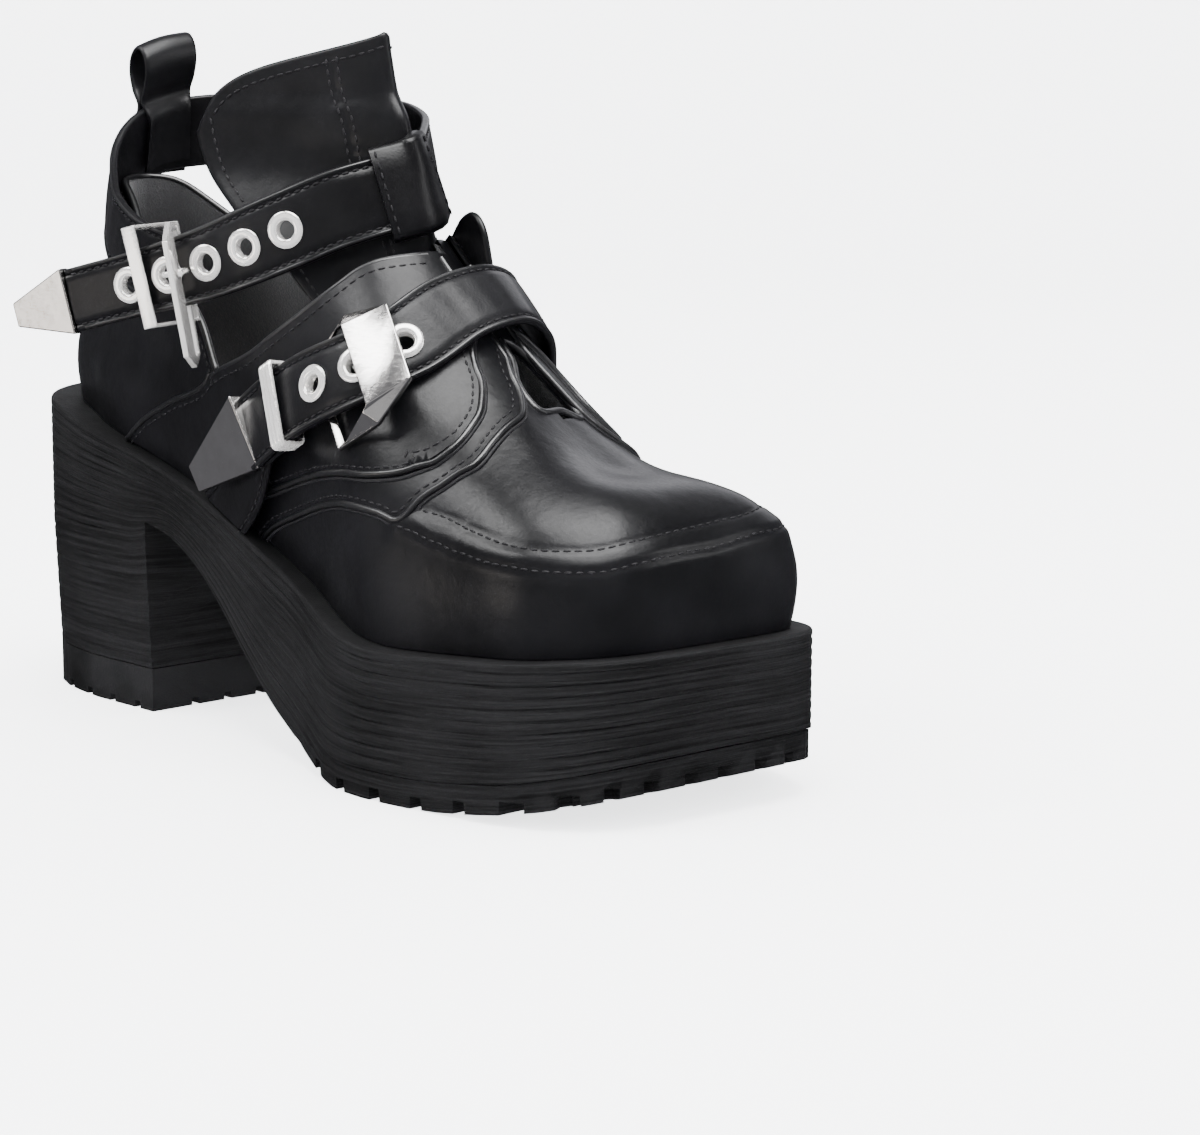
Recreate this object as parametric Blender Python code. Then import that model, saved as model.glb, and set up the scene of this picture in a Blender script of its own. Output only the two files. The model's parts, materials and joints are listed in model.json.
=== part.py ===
"""Cut-out ankle boot (a right boot) on a platform sole with a block heel.

Lengths are in millimetres and are turned into metres when a mesh is made.
X runs from heel to toe, Y points to the medial (inner) side and Z is up.
The ground is Z = 0. The tables below measure X from the back of the heel, and
main() then moves every piece so that X = 0 lies under the middle of the heel.
"""
import math

import bmesh
import bpy
import numpy as np
from mathutils import Matrix, Vector
from mathutils.bvhtree import BVHTree

MM = 0.001
GAP = 0.3                     # air between neighbouring pieces

# ---------------------------------------------------------------- sole sizes
SOLE_LENGTH = 274.0
HEEL_LENGTH = 70.0            # back of the heel to its flat breast
HEEL_MIDDLE = 35.0            # the origin's distance from the back of the heel
HEEL_TOPLIFT = 13.0           # smooth wearing layer under the heel
OUTSOLE = 8.0                 # lugged layer under the forepart
LEDGE = 6.0                   # how far the sole stands out past the upper
RIB_DEPTH = 0.45              # ribbed layers in the side of the sole

# Edge of the sole seen from above, from the back of the heel round by the
# lateral side (-Y) to the toe and back by the medial side (+Y).
SOLE_EDGE = (
    # x, y
    (0, 0), (8, -26), (32, -34.5), (70, -35.5), (110, -38.5), (150, -43),
    (187, -54.5), (222, -51.5), (250, -45.5), (268, -29),
    (274, 3), (272.8, 37), (254, 49.5), (222, 52), (187, 49),
    (150, 40), (110, 34), (70, 35.5), (32, 34.5), (8, 24),
)
# Footbed height along the sole.
TOP_X = (0, 40, 80, 110, 140, 170, 200, 235, 274)
TOP_Z = (92, 83.5, 74.5, 66, 55, 46, 41, 42.5, 45.5)
# Underside of the arch, then of the forepart with its toe spring.
ARCH_X = (70, 84, 98, 112, 126, 140, 152, 164)
ARCH_Z = (58, 55, 48.5, 38, 25, 14, 8, 3.5)
SPRING_X = (164, 180, 212, 240, 258, 274)
SPRING_Z = (3.5, 0, 0, 2.6, 6.0, 10.5)
OUTSOLE_BACK = 152.0          # where the lugged layer runs out into the arch
HEEL_RIB_SPLIT = 52.0         # height where the heel's ribs turn level
HEEL_RIBS, PLATFORM_RIBS = 6, 12
HEEL_TAPER = 1.6              # the heel narrows this much down to its wearing layer
FOREPART_GROOVES, GROOVE_STEP, GROOVE_DEPTH = 7, 15.0, 3.5

# ---------------------------------------------------------------- last sizes
WALL = 2.0                    # leather and lining of the upper
INSTEP_LEAN = 3.0             # the ridge of the last lies this far medial
RIDGE_X = (26, 60, 95, 125, 150, 175, 200, 222, 236)
RIDGE_Z = (215, 215, 207, 183, 154, 130, 108, 91, 81)
RIDGE_BACK, RIDGE_FRONT = 30.0, 230.0
# Fullness of each cross-section: 2 is an ellipse, more is boxier.
FULL_X = (0, 60, 110, 150, 200, 235, 268)
FULL_N = (3.2, 3.2, 2.6, 2.1, 2.1, 2.6, 3.2)
# The ankle narrows above the heel cup, most of all at the Achilles tendon.
NARROW_X = (6, 30, 60, 100, 130)
NARROW = (0.46, 0.36, 0.24, 0.12, 0.0)
ANKLE_RISE = 64.0             # height over the footbed where NARROW is reached
BACK_LEAN = 9.0               # the back line comes forward this much

# Height of the collar: the quarters' top edge from the back down to the
# bottom of the side opening, then the wings' top edge up to the throat.
QUARTER_TOP = ((0, 156), (22, 156), (45, 143), (70, 129), (88, 118), (100, 104))
WING_TOP = ((100, 104), (104, 106), (123, 113), (141, 124), (152, 133), (159, 139.5), (172, 143))
MEDIAL_WING_TOP = ((100, 104), (104, 106), (123, 113), (141, 125), (150, 136), (157, 144),
                   (165, 150))
# A corner of the medial wing that stands up from the instep: each row holds
# the foot and the top of the leather there.
WING_PEAK = (
    # foot x, y, z, top x, y, z
    (156, 13, 138, 156.5, 11.5, 144), (160, 12.5, 135.5, 161, 11.5, 149.5),
    (165, 12, 133, 166.5, 10.5, 151.2), (170, 11, 130, 171.5, 9.6, 147.5),
    (175, 10, 127, 175.2, 9.2, 136.5), (178, 9.4, 124.5, 178.2, 9, 129),
)
# Opening over the instep in front of the flap, seen from above.
THROAT = ((186, -1), (196, -5), (207, -8), (210, 3), (207, 14), (198, 12), (190, 8))
# The two raised wings seen from the side (x, z): their rear seam, from the
# bottom of the side opening down to the sole, and their front lower edges.
OUTER_WING_STEP, INNER_WING_STEP = 1.8, 0.9
WING_SEAM = ((60, 50), (56, 81), (65, 87), (80.5, 94), (99, 101.5), (102, 112))
OUTER_WING_EDGE = ((104, 50), (108, 66), (116.5, 69), (136, 76), (154, 82), (176, 85),
                   (193, 85.5), (198, 87), (203, 91), (205, 96), (202.5, 102), (199, 106),
                   (194, 113), (198, 124))
INNER_WING_EDGE = ((120, 44), (125, 57), (131.5, 63), (147, 69.5), (166, 74.6), (179, 76.4),
                   (190, 75), (198, 72.8), (205, 81.5), (210.4, 87.6), (211.6, 92.4),
                   (210.7, 97), (206.6, 102.8), (204, 110), (208, 122))
HEEL_BULGE, FRONT_BULGE = 2.0, 2.6
HEEL_LEDGE = 3.7              # extra ledge behind the heel

# ------------------------------------------------------------ ankle flap sizes
FLAP_THICK = 2.0
FLAP_LOW, FLAP_TOP = 118.0, 200.7
# Height, crease position, half width, sweep-back and roundness of the crease.
FLAP_Z = (118, 138, 150, 163, 177, 185, 195, 201)
FLAP_FRONT = (163.5, 157.4, 156.4, 151.2, 147.8, 142.9, 140.6, 139.2)
FLAP_HALF = (21, 26, 27, 27.1, 26.8, 26.4, 26, 25.8)
FLAP_STEEP = (1.5, 1.72, 2.2, 2.4, 2.5, 2.5, 2.6, 2.6)
FLAP_ROUND = (12, 10, 5, 3, 2.5, 2.5, 2.5, 2.5)

# ------------------------------------------------------------ strap and metal
STRAP_WIDTH = 22.0
STRAP_THICK = 2.4
EYELET_OUTER, EYELET_BORE = 10.4, 5.4
EYELET_STEP = 13.5
FRAME_THICK = 1.6
# Middle line of the ankle strap from its buckle end round the back of the
# ankle, along the medial side, over the flap and back to its free end.
ANKLE_STRAP = (
    # x, y, z, lean in degrees
    (93, -34, 131.5, 0), (68, -33.5, 136, 0), (51, -29.5, 142, 2), (38, -22.5, 148, 6),
    (27, -13.5, 155, 8), (19.5, -2, 163, 8), (17, 9, 168, 8), (19.5, 21, 170, 6),
    (30, 33, 171, 0), (50, 39, 171, 0), (76, 40, 171, 0), (106, 35.5, 170, 2),
    (130, 25, 167, 8), (142.5, 15, 164, 12), (152.3, 5.6, 161.4, 16), (155.9, -0.6, 159.3, 18),
    (153, -8.5, 157.3, 16), (144, -20, 153, 6), (131, -29.5, 146.3, 2), (109, -40, 136.8, 0),
    (86, -49, 129.9, 0), (66, -56, 124.4, 0),
)
ANKLE_HINGE = (96.1, -38.0, 128.0)
KEEPER_RISE = 1.2             # the ankle keeper stands this much high on its strap
TAB_HALF = 9.0                # half the width of the folded tab at the heel
TAIL_TAPER = 0.84             # the ankle strap's free end against its full width
# Middle line of the instep strap from the sole on the medial side over the
# instep to its free end on the lateral side.
INSTEP_STRAP = (
    # x, y, z, lean in degrees
    (118, 33.5, 57, -4), (126, 34.4, 66, -4), (137, 36.9, 76.5, -2), (149, 38.0, 91, 7),
    (162, 35, 106, 19), (172, 28, 117, 31), (179, 18.5, 124.5, 41), (183.2, 4, 128.6, 48),
    (184.5, -12, 127, 46), (184, -29.7, 118.7, 38), (174, -39.3, 112, 24),
    (161, -42.3, 106, 13), (145.5, -42.6, 98.7, 8), (131.5, -42.2, 90.2, 5),
)
BILLET_THICK = 1.6
KEEPER_WALL = 0.8
BUCKLE_TILT = 0.16            # the instep buckle's low end stands out
BUCKLE_SAG = 1.3              # the instep buckle hangs this much low on its strap
BILLET_START = (153, -42, 102)
BILLET_FOOT = ((124, -38.6, 76), (116, -37.5, 68), (109, -36.8, 62))
INSTEP_EYELET_STEP = 14.3


# =============================================================== small tools
def curve(xs, ys):
    """A smooth curve through (xs, ys) that never overshoots them."""
    xs = np.array(xs, float)
    ys = np.array(ys, float)
    width = np.diff(xs)
    rise = np.diff(ys) / width
    slope = np.concatenate([rise[:1], np.zeros(len(xs) - 2), rise[-1:]])
    for i in range(1, len(xs) - 1):
        if rise[i - 1] * rise[i] > 0:
            before = 2 * width[i] + width[i - 1]
            after = width[i] + 2 * width[i - 1]
            slope[i] = (before + after) / (before / rise[i - 1] + after / rise[i])

    def at(x):
        x = np.clip(np.asarray(x, float), xs[0], xs[-1])
        i = np.clip(np.searchsorted(xs, x, side="right") - 1, 0, len(xs) - 2)
        t = (x - xs[i]) / width[i]
        return ((1 + 2 * t) * (1 - t) ** 2 * ys[i] + t * (1 - t) ** 2 * width[i] * slope[i]
                + t * t * (3 - 2 * t) * ys[i + 1] + t * t * (t - 1) * width[i] * slope[i + 1])
    return at


def smooth(low, high, x):
    """0 at low, 1 at high, with an eased change between them."""
    t = np.clip((x - low) / (high - low), 0, 1)
    return t * t * (3 - 2 * t)


def spline(points, count, closed=False):
    """count points along a centripetal Catmull-Rom curve through points."""
    p = np.array(points, float)
    if closed:
        p = np.vstack([p[-1:], p, p[:2]])
    else:
        p = np.vstack([2 * p[0] - p[1], p, 2 * p[-1] - p[-2]])
    knots = np.concatenate([[0], np.cumsum(np.sqrt(np.linalg.norm(np.diff(p, axis=0), axis=1)))])
    dense = []
    for i in range(1, len(p) - 2):
        k = knots[i - 1:i + 3]
        for t in np.linspace(k[1], k[2], 12, endpoint=False):
            a = [((k[j + 1] - t) * p[i - 1 + j] + (t - k[j]) * p[i + j]) / (k[j + 1] - k[j])
                 for j in range(3)]
            b = [((k[j + 2] - t) * a[j] + (t - k[j]) * a[j + 1]) / (k[j + 2] - k[j])
                 for j in range(2)]
            dense.append(((k[2] - t) * b[0] + (t - k[1]) * b[1]) / (k[2] - k[1]))
    dense.append(p[-2])
    return even(np.array(dense), count)


def even(line, count):
    """count points at equal steps along a polyline, ends included."""
    run = np.concatenate([[0], np.cumsum(np.linalg.norm(np.diff(line, axis=0), axis=1))])
    at = np.linspace(0, run[-1], count)
    return np.stack([np.interp(at, run, line[:, k]) for k in range(line.shape[1])], axis=1)


def unit(v):
    return v / np.maximum(np.linalg.norm(v, axis=-1, keepdims=True), 1e-9)


def material(name, color, roughness, metallic=0.0):
    made = bpy.data.materials.new(name)
    made.use_nodes = True
    shader = made.node_tree.nodes["Principled BSDF"]
    shader.inputs["Base Color"].default_value = (*color, 1.0)
    shader.inputs["Roughness"].default_value = roughness
    shader.inputs["Metallic"].default_value = metallic
    return made


def solid(name, points, faces, look, sharp_angle=35):
    """A closed mesh object from points in mm; its faces are turned outward."""
    mesh = bpy.data.meshes.new(name)
    mesh.from_pydata([tuple(p) for p in np.asarray(points, float) * MM], [], faces)
    shell = bmesh.new()
    shell.from_mesh(mesh)
    bmesh.ops.remove_doubles(shell, verts=shell.verts, dist=1e-6)
    bmesh.ops.recalc_face_normals(shell, faces=shell.faces)
    shell.to_mesh(mesh)
    shell.free()
    mesh.shade_smooth()
    mesh.set_sharp_from_angle(angle=math.radians(sharp_angle))
    mesh.materials.append(look)
    made = bpy.data.objects.new(name, mesh)
    bpy.context.collection.objects.link(made)
    return made


def cut(target, tool, operation="DIFFERENCE"):
    """Apply an exact Boolean and drop the tool."""
    step = target.modifiers.new("cut", "BOOLEAN")
    step.operation = operation
    step.solver = "EXACT"
    step.object = tool
    depsgraph = bpy.context.evaluated_depsgraph_get()
    done = bpy.data.meshes.new_from_object(target.evaluated_get(depsgraph))
    target.modifiers.clear()
    old = target.data
    target.data = done
    done.name = old.name
    bpy.data.meshes.remove(old)
    bpy.data.objects.remove(tool)
    target.data.set_sharp_from_angle(angle=math.radians(35))
    return target


def prism(name, outline, low, high, look, axis=1):
    """An outline in two coordinates extruded along the third from low to high."""
    count = len(outline)
    others = [k for k in range(3) if k != axis]
    points = np.zeros((2 * count, 3))
    points[:count, others] = outline
    points[count:, others] = outline
    points[:count, axis] = low
    points[count:, axis] = high
    faces = [list(range(count)), list(range(2 * count - 1, count - 1, -1))]
    faces += [(i, i + count, (i + 1) % count + count, (i + 1) % count) for i in range(count)]
    return solid(name, points, faces, look)


# ===================================================================== sole
top_z = curve(TOP_X, TOP_Z)
arch_z = curve(ARCH_X, ARCH_Z)
spring_z = curve(SPRING_X, SPRING_Z)


def edge_line(count):
    """The sole's edge as a closed ring of points, evenly spaced."""
    return spline(SOLE_EDGE, count + 1, closed=True)[:-1]


def inset(ring, distance):
    along = np.roll(ring, -1, axis=0) - np.roll(ring, 1, axis=0)
    along = unit(along)
    return ring + np.stack([-along[:, 1], along[:, 0]], axis=1) * np.asarray(distance)[..., None]


def underside(x):
    """Height of the sole's underside in front of the heel."""
    return np.where(x < ARCH_X[-1], arch_z(x), spring_z(x))


def strips(count, start):
    """Faces that close a ring of count points with strips from side to side."""
    faces = []
    for i in range(count // 2):
        corners = (i, i + 1, count - i - 1, (count - i) % count)
        faces.append([start + k for k in dict.fromkeys(corners)])
    return faces


def stack(name, rows, look, sharp_angle=50):
    """A solid from equal rings of points, one above another."""
    count = len(rows[0])
    faces = strips(count, 0) + strips(count, (len(rows) - 1) * count)
    for r in range(len(rows) - 1):
        for i in range(count):
            j = (i + 1) % count
            faces.append((r * count + i, r * count + j, (r + 1) * count + j, (r + 1) * count + i))
    return solid(name, np.vstack(rows), faces, look, sharp_angle)


def ring_rows(ring, levels):
    """Copies of a plan ring, one for each level (height, inset)."""
    rows = []
    for height, step in levels:
        row = inset(ring, np.full(len(ring), step))
        rows.append(np.column_stack([row, np.zeros(len(ring)) + height]))
    return rows


def sole_unit(look):
    """Platform, arch and block heel in one piece, with ribbed layers in its side."""
    ring = edge_line(64)
    x = ring[:, 0]
    top = top_z(x)
    heel_share = smooth(88, 60, x)
    middle = underside(np.maximum(x, ARCH_X[0])) * (1 - heel_share) + HEEL_RIB_SPLIT * heel_share
    floor = np.where(x > 120, -20.0, HEEL_TOPLIFT + GAP)
    levels = []
    for k in range(HEEL_RIBS):
        share = k / HEEL_RIBS
        levels.append((floor + (middle - floor) * share, RIB_DEPTH * (k % 2) + HEEL_TAPER * (1 - share)))
    for k in range(PLATFORM_RIBS + 1):
        levels.append((middle + (top - middle) * k / PLATFORM_RIBS, RIB_DEPTH * (k % 2)))
    sole = stack("sole_unit", ring_rows(ring, levels), look)
    space = [(HEEL_LENGTH, -40), (HEEL_LENGTH, ARCH_Z[0])]
    space += [(v, float(arch_z(v))) for v in np.linspace(ARCH_X[0] + 7, OUTSOLE_BACK, 12)]
    lift = OUTSOLE + GAP
    space += [(v, float(spring_z(v)) + lift) for v in np.linspace(212, SOLE_LENGTH, 7)]
    space += [(SOLE_LENGTH + 30, 24), (SOLE_LENGTH + 30, -40)]
    return cut(sole, prism("arch_space", space, -90, 90, look))


def outsole(look):
    """Lugged wearing layer under the forepart, flat on the ground and up at the toe."""
    ring = edge_line(64)
    block = stack("forepart_outsole", ring_rows(ring, [(-5, 0.9), (4, 0.3), (40, 0.3)]), look)
    low = [(v, float(underside(np.array(v)))) for v in np.linspace(OUTSOLE_BACK, 180, 5)]
    low += [(v, float(spring_z(v))) for v in np.linspace(212, SOLE_LENGTH, 7)]
    low += [(SOLE_LENGTH + 20, SPRING_Z[-1] + 5)]
    high = [(v, z + OUTSOLE) for v, z in low if v >= 212]
    cut(block, prism("layer", low + high[::-1], -90, 90, look), "INTERSECT")
    grooves = []
    for k in range(FOREPART_GROOVES):
        x = 170 + k * GROOVE_STEP
        z = float(spring_z(x))
        profile = [(x - 2.4, z - 6), (x + 2.4, z - 6), (x + 1.8, z + GROOVE_DEPTH),
                   (x - 1.8, z + GROOVE_DEPTH)]
        grooves += [prism("groove", profile, -90, -24, look), prism("groove", profile, 24, 90, look)]
    return cut(block, joined(grooves))


def heel_toplift(look):
    """Smooth wearing layer under the heel, notched round its lower edge."""
    ring = inset(edge_line(64), np.full(64, HEEL_TAPER))
    ring = np.roll(ring, 20, axis=0)
    back = ring[ring[:, 0] < HEEL_LENGTH - 4]
    outline = [(HEEL_LENGTH, back[0][1])] + [tuple(p) for p in back] + [(HEEL_LENGTH, back[-1][1])]
    block = prism("heel_toplift", outline, 0, HEEL_TOPLIFT, look, axis=2)
    notches = []
    for k in range(5):
        x = 10 + k * 13.0
        slot = [(x - 1.6, -2), (x + 1.6, -2), (x + 1.2, 2.2), (x - 1.2, 2.2)]
        notches += [prism("notch", slot, -60, -23, look), prism("notch", slot, 23, 60, look)]
    for y in (-18, -6, 6, 18):
        slot = [(y - 1.6, -2), (y + 1.6, -2), (y + 1.2, 2.2), (y - 1.2, 2.2)]
        notches.append(prism("notch", slot, HEEL_LENGTH - 9, HEEL_LENGTH + 5, look, axis=0))
    return cut(block, joined(notches))


def insole(look):
    ring = edge_line(48)
    ring = inset(ring, LEDGE + WALL + 2.0 + HEEL_LEDGE * smooth(60, 20, ring[:, 0]))
    floor = top_z(ring[:, 0]) + GAP
    return stack("insole", ring_rows(ring, [(floor, 0), (floor + 2.0, 0)]), look)


# ==================================================================== upper
ridge_z = curve(RIDGE_X, RIDGE_Z)


def feather_sides(count):
    """The upper's lower edge: its lateral and medial lines from heel to toe."""
    ring = edge_line(240)
    line = inset(ring, LEDGE + HEEL_LEDGE * smooth(60, 20, ring[:, 0]))
    front = int(np.argmax(line[:, 0]))
    lateral = even(line[:front + 1], count + 1)
    medial = even(np.vstack([line[front:], line[:1]])[::-1], count + 1)
    return lateral, medial


def last_form(offset, stations=32, rows=12):
    """The last's surface as rings of points from the feather line up to its ridge.

    Each lateral point has a medial partner, and both end at one ridge point.
    """
    lateral, medial = feather_sides(stations)
    base = np.vstack([lateral, medial[-2:0:-1]])
    partner = np.concatenate([np.arange(stations + 1), np.arange(stations - 1, 0, -1)])
    mid_x = ((lateral[:, 0] + medial[:, 0]) / 2)[partner]
    soft = 14.0
    ridge_x = RIDGE_BACK + soft * np.logaddexp(0, (mid_x - RIDGE_BACK) / soft)
    ridge_x = RIDGE_FRONT - soft * np.logaddexp(0, (RIDGE_FRONT - ridge_x) / soft)
    x0, y0 = base[:, 0], base[:, 1]
    z0 = top_z(x0)
    full = np.interp(x0, FULL_X, FULL_N)
    crowd = 1.0 + 0.8 * smooth(130, 50, x0)
    spread = unit(np.column_stack([x0 - ridge_x, y0 - INSTEP_LEAN]))
    heel = smooth(120, 40, x0)
    narrow = np.interp(x0, NARROW_X, NARROW)
    form = []
    for r in range(rows + 1):
        angle = math.pi / 2 * (r / rows) ** crowd
        inward = 1 - np.maximum(np.cos(angle), 0) ** (2 / full)
        upward = np.sin(angle) ** (2 / full)
        if r == rows:
            inward = upward = np.ones_like(x0)
        z = z0 + (ridge_z(ridge_x) - z0) * upward
        ankle = smooth(8, ANKLE_RISE, z - z0)
        bulge = heel * HEEL_BULGE * np.sin(math.pi * np.clip((z - z0) / 45, 0, 1))
        bulge = (bulge + (1 - heel) * FRONT_BULGE * np.sin(math.pi * upward)) * (1 - inward)
        x = x0 + (ridge_x - x0) * inward + spread[:, 0] * bulge
        x = x + BACK_LEAN * smooth(60, 10, x0) * ankle * (1 - inward)
        y = y0 + (INSTEP_LEAN - y0) * inward + spread[:, 1] * bulge
        y = y + (INSTEP_LEAN - y) * narrow * ankle
        form.append(np.column_stack([x, y, z]))
    form = np.array(form)
    around = np.roll(form, -1, axis=1) - np.roll(form, 1, axis=1)
    rising = np.gradient(form, axis=0)
    normal = unit(np.cross(around, rising))
    opposite = (2 * stations - np.arange(2 * stations)) % (2 * stations)
    normal[-1] = unit(normal[-2] + normal[-2][opposite])
    normal[0, :, 2] = 0
    return form + offset * unit(normal)


def last_solid(name, offset, look, lift=0.0):
    """The last, grown by offset, as a closed solid standing on the footbed."""
    form = last_form(offset)
    form[0, :, 2] += lift
    rows, count = form.shape[:2]
    faces = strips(count, 0)
    for r in range(rows - 1):
        for i in range(count):
            j = (i + 1) % count
            faces.append((r * count + i, r * count + j, (r + 1) * count + j, (r + 1) * count + i))
    return solid(name, form.reshape(-1, 3), faces, look)


def wing(name, offset, lower_edge, margin, look):
    """Both side panels of one layer: the grown last inside the panel's outline.

    The margin keeps the two layers' rear and top borders apart.
    """
    seam = [(x - margin, z) for x, z in WING_SEAM]
    outline = list(lower_edge[::-1]) + seam + [(110, 190 + margin), (217, 190 + margin)]
    sides = [prism("lateral", outline, -90, margin - 2.5, look),
             prism("medial", outline, 8.5 - margin, 90, look)]
    return cut(last_solid(name, offset, look, lift=2 * GAP + margin / 4), joined(sides), "INTERSECT")


def filled_upper(look):
    """The upper's outer shape up to its top edge, before it is hollowed."""
    body = last_solid("upper", 0, look, lift=GAP)
    cut(body, wing("inner_wing", INNER_WING_STEP, INNER_WING_EDGE, 1.2, look), "UNION")
    cut(body, wing("outer_wing", OUTER_WING_STEP, OUTER_WING_EDGE, 0.4, look), "UNION")
    for edge, low, high in ((WING_TOP, -90, INSTEP_LEAN), (MEDIAL_WING_TOP, INSTEP_LEAN - 1, 90)):
        outline = [(-20, QUARTER_TOP[0][1])] + [tuple(p) for p in spline(QUARTER_TOP, 9)]
        outline += [tuple(p) for p in spline(edge, 9)[1:]] + [(215, 185), (215, 260), (-20, 260)]
        cut(body, prism("collar", outline, low, high, look))
    return body


def upper(body, look):
    """One hollow wall with raised wings, open below, at the collar, sides and throat."""
    cut(body, last_solid("hollow", -WALL, look, lift=-12))
    cut(body, prism("throat", THROAT, 93, 160, look, axis=2))
    foot_to_top = np.array(WING_PEAK, float).reshape(-1, 2, 3)
    share = np.linspace(0, 1, 4)[:, None, None]
    grid = foot_to_top[:, 0] * (1 - share) + foot_to_top[:, 1] * share
    return cut(body, sheet("wing_peak", grid, WALL, look), "UNION")


def ankle_flap(look):
    """The shaft: one folded panel round the front of the ankle, open at both sides."""
    across = np.linspace(-1, 1, 19)
    share = np.linspace(0, 1, 10)
    top = FLAP_TOP - 15 * np.abs(across) - 13 * np.abs(across) ** 8
    low = np.full(19, FLAP_LOW) + 6 * (1 - np.abs(across))
    grid = np.zeros((10, 19, 3))
    for r, s in enumerate(share):
        z = low + (top - low) * s
        front = curve(FLAP_Z, FLAP_FRONT)(z)
        half = curve(FLAP_Z, FLAP_HALF)(z)
        steep = curve(FLAP_Z, FLAP_STEEP)(z)
        tip = curve(FLAP_Z, FLAP_ROUND)(z)
        y = across * half
        x = front - steep * (np.sqrt(y ** 2 + tip ** 2) - tip)
        grid[r] = np.column_stack([x, y + INSTEP_LEAN * 0.3, z])
    return sheet("ankle_flap", grid, FLAP_THICK, look)


def sheet(name, grid, thick, look):
    """A bent sheet of even thickness from a grid of points on its middle."""
    rows, count = grid.shape[:2]
    normal = unit(np.cross(np.gradient(grid, axis=1), np.gradient(grid, axis=0)))
    front = (grid + normal * thick / 2).reshape(-1, 3)
    back = (grid - normal * thick / 2).reshape(-1, 3)
    size = rows * count
    faces = []
    for r in range(rows - 1):
        for i in range(count - 1):
            a = r * count + i
            faces.append((a, a + 1, a + count + 1, a + count))
            faces.append((size + a, size + a + count, size + a + count + 1, size + a + 1))
    border = [i for i in range(count)]
    border += [r * count + count - 1 for r in range(1, rows)]
    border += [(rows - 1) * count + i for i in range(count - 2, -1, -1)]
    border += [r * count for r in range(rows - 2, 0, -1)]
    for a, b in zip(border, border[1:] + border[:1]):
        faces.append((a, a + size, b + size, b))
    return solid(name, np.vstack([front, back]), faces, look)


# =================================================================== straps
class Path:
    """A strap's middle line with its own outward and upward directions."""

    def __init__(self, centre, out):
        self.centre = centre
        self.along = unit(np.gradient(centre, axis=0))
        self.up = unit(np.cross(self.along, out))
        self.out = np.cross(self.up, self.along)
        steps = np.linalg.norm(np.diff(centre, axis=0), axis=1)
        self.run = np.concatenate([[0], np.cumsum(steps)])

    def at(self, run):
        """Place on the path at a distance along it: origin, along, up, out."""
        found = [np.array([np.interp(run, self.run, rows[:, k]) for k in range(3)])
                 for rows in (self.centre, self.along, self.up, self.out)]
        return [found[0]] + [unit(v) for v in found[1:]]


def tree_of(item):
    """A search tree over an object's faces, in mm."""
    shape = bmesh.new()
    shape.from_mesh(item.data)
    shape.transform(Matrix.Scale(1 / MM, 4))
    tree = BVHTree.FromBMesh(shape)
    shape.free()
    return tree


def resting(path, trees, depth):
    """The path moved outward until its inner face lies on the shapes below it.

    The depth is how far that face lies under the path at each of its points.
    """
    depth = np.broadcast_to(depth, len(path.centre))
    lift = np.zeros(len(path.centre))
    for i, (centre, up, out) in enumerate(zip(path.centre, path.up, path.out)):
        spots = [centre + up * b - out * depth[i] for b in np.linspace(-0.5, 0.5, 9) * STRAP_WIDTH]
        while lift[i] < 6 and any(too_close(tree, spot + out * lift[i])
                                  for spot in spots for tree in trees):
            lift[i] += 0.1
    reach = 9
    padded = np.pad(lift, reach, mode="edge")
    highest = np.array([padded[i:i + 2 * reach + 1].max() for i in range(len(lift))])
    padded = np.pad(highest, reach, mode="edge")
    eased = np.convolve(padded, np.full(2 * reach + 1, 1 / (2 * reach + 1)), mode="valid")
    return Path(path.centre + path.out * eased[:, None], path.out)


def too_close(tree, spot):
    """Whether a point is inside a shape or nearer to it than the gap."""
    place, normal, _, distance = tree.find_nearest(spot, 8.0)
    if place is None:
        return False
    return distance < GAP or (Vector(spot) - place).dot(normal) < 0


def local(frame, points):
    """Points given as (along, up, out) in a frame, as places in the model."""
    origin, along, up, out = frame
    return [origin + a * along + b * up + n * out for a, b, n in points]


def sweep(name, frames, section, look, widths=None, sharp_angle=35):
    """A section given as (up, out) carried through frames and closed at both ends."""
    widths = np.ones(len(frames)) if widths is None else widths
    rows = [local(frame, [(0, b * width, n) for b, n in section])
            for frame, width in zip(frames, widths)]
    return loft(name, rows, look, sharp_angle)


def loft(name, rows, look, sharp_angle=35):
    """A skin over equal rings of points, closed at both ends."""
    count = len(rows[0])
    faces = []
    for r in range(len(rows) - 1):
        for i in range(count):
            j = (i + 1) % count
            faces.append((r * count + i, r * count + j, (r + 1) * count + j, (r + 1) * count + i))
    last_row = (len(rows) - 1) * count
    faces += [list(range(count)), list(range(last_row + count - 1, last_row - 1, -1))]
    return solid(name, np.concatenate(rows), faces, look, sharp_angle)


def joined(objects):
    """One object that holds the meshes of several."""
    points, faces = [], []
    for item in objects:
        start = len(points)
        points += [tuple(v.co / MM) for v in item.data.vertices]
        faces += [[start + k for k in face.vertices] for face in item.data.polygons]
        look = item.data.materials[0]
        bpy.data.objects.remove(item)
    return solid("joined", points, faces, look)


def turned(name, frame, profile, look, sides=12):
    """A ring turned about a frame's outward direction from (radius, out) points."""
    origin, along, up, out = frame
    points = []
    for k in range(sides):
        turn = 2 * math.pi * k / sides
        ray = math.cos(turn) * along + math.sin(turn) * up
        points += [origin + r * ray + n * out for r, n in profile]
    count = len(profile)
    faces = []
    for k in range(sides):
        for i in range(count):
            a, b = k * count, (k + 1) % sides * count
            j = (i + 1) % count
            faces.append((a + i, a + j, b + j, b + i))
    return solid(name, points, faces, look)


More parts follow.
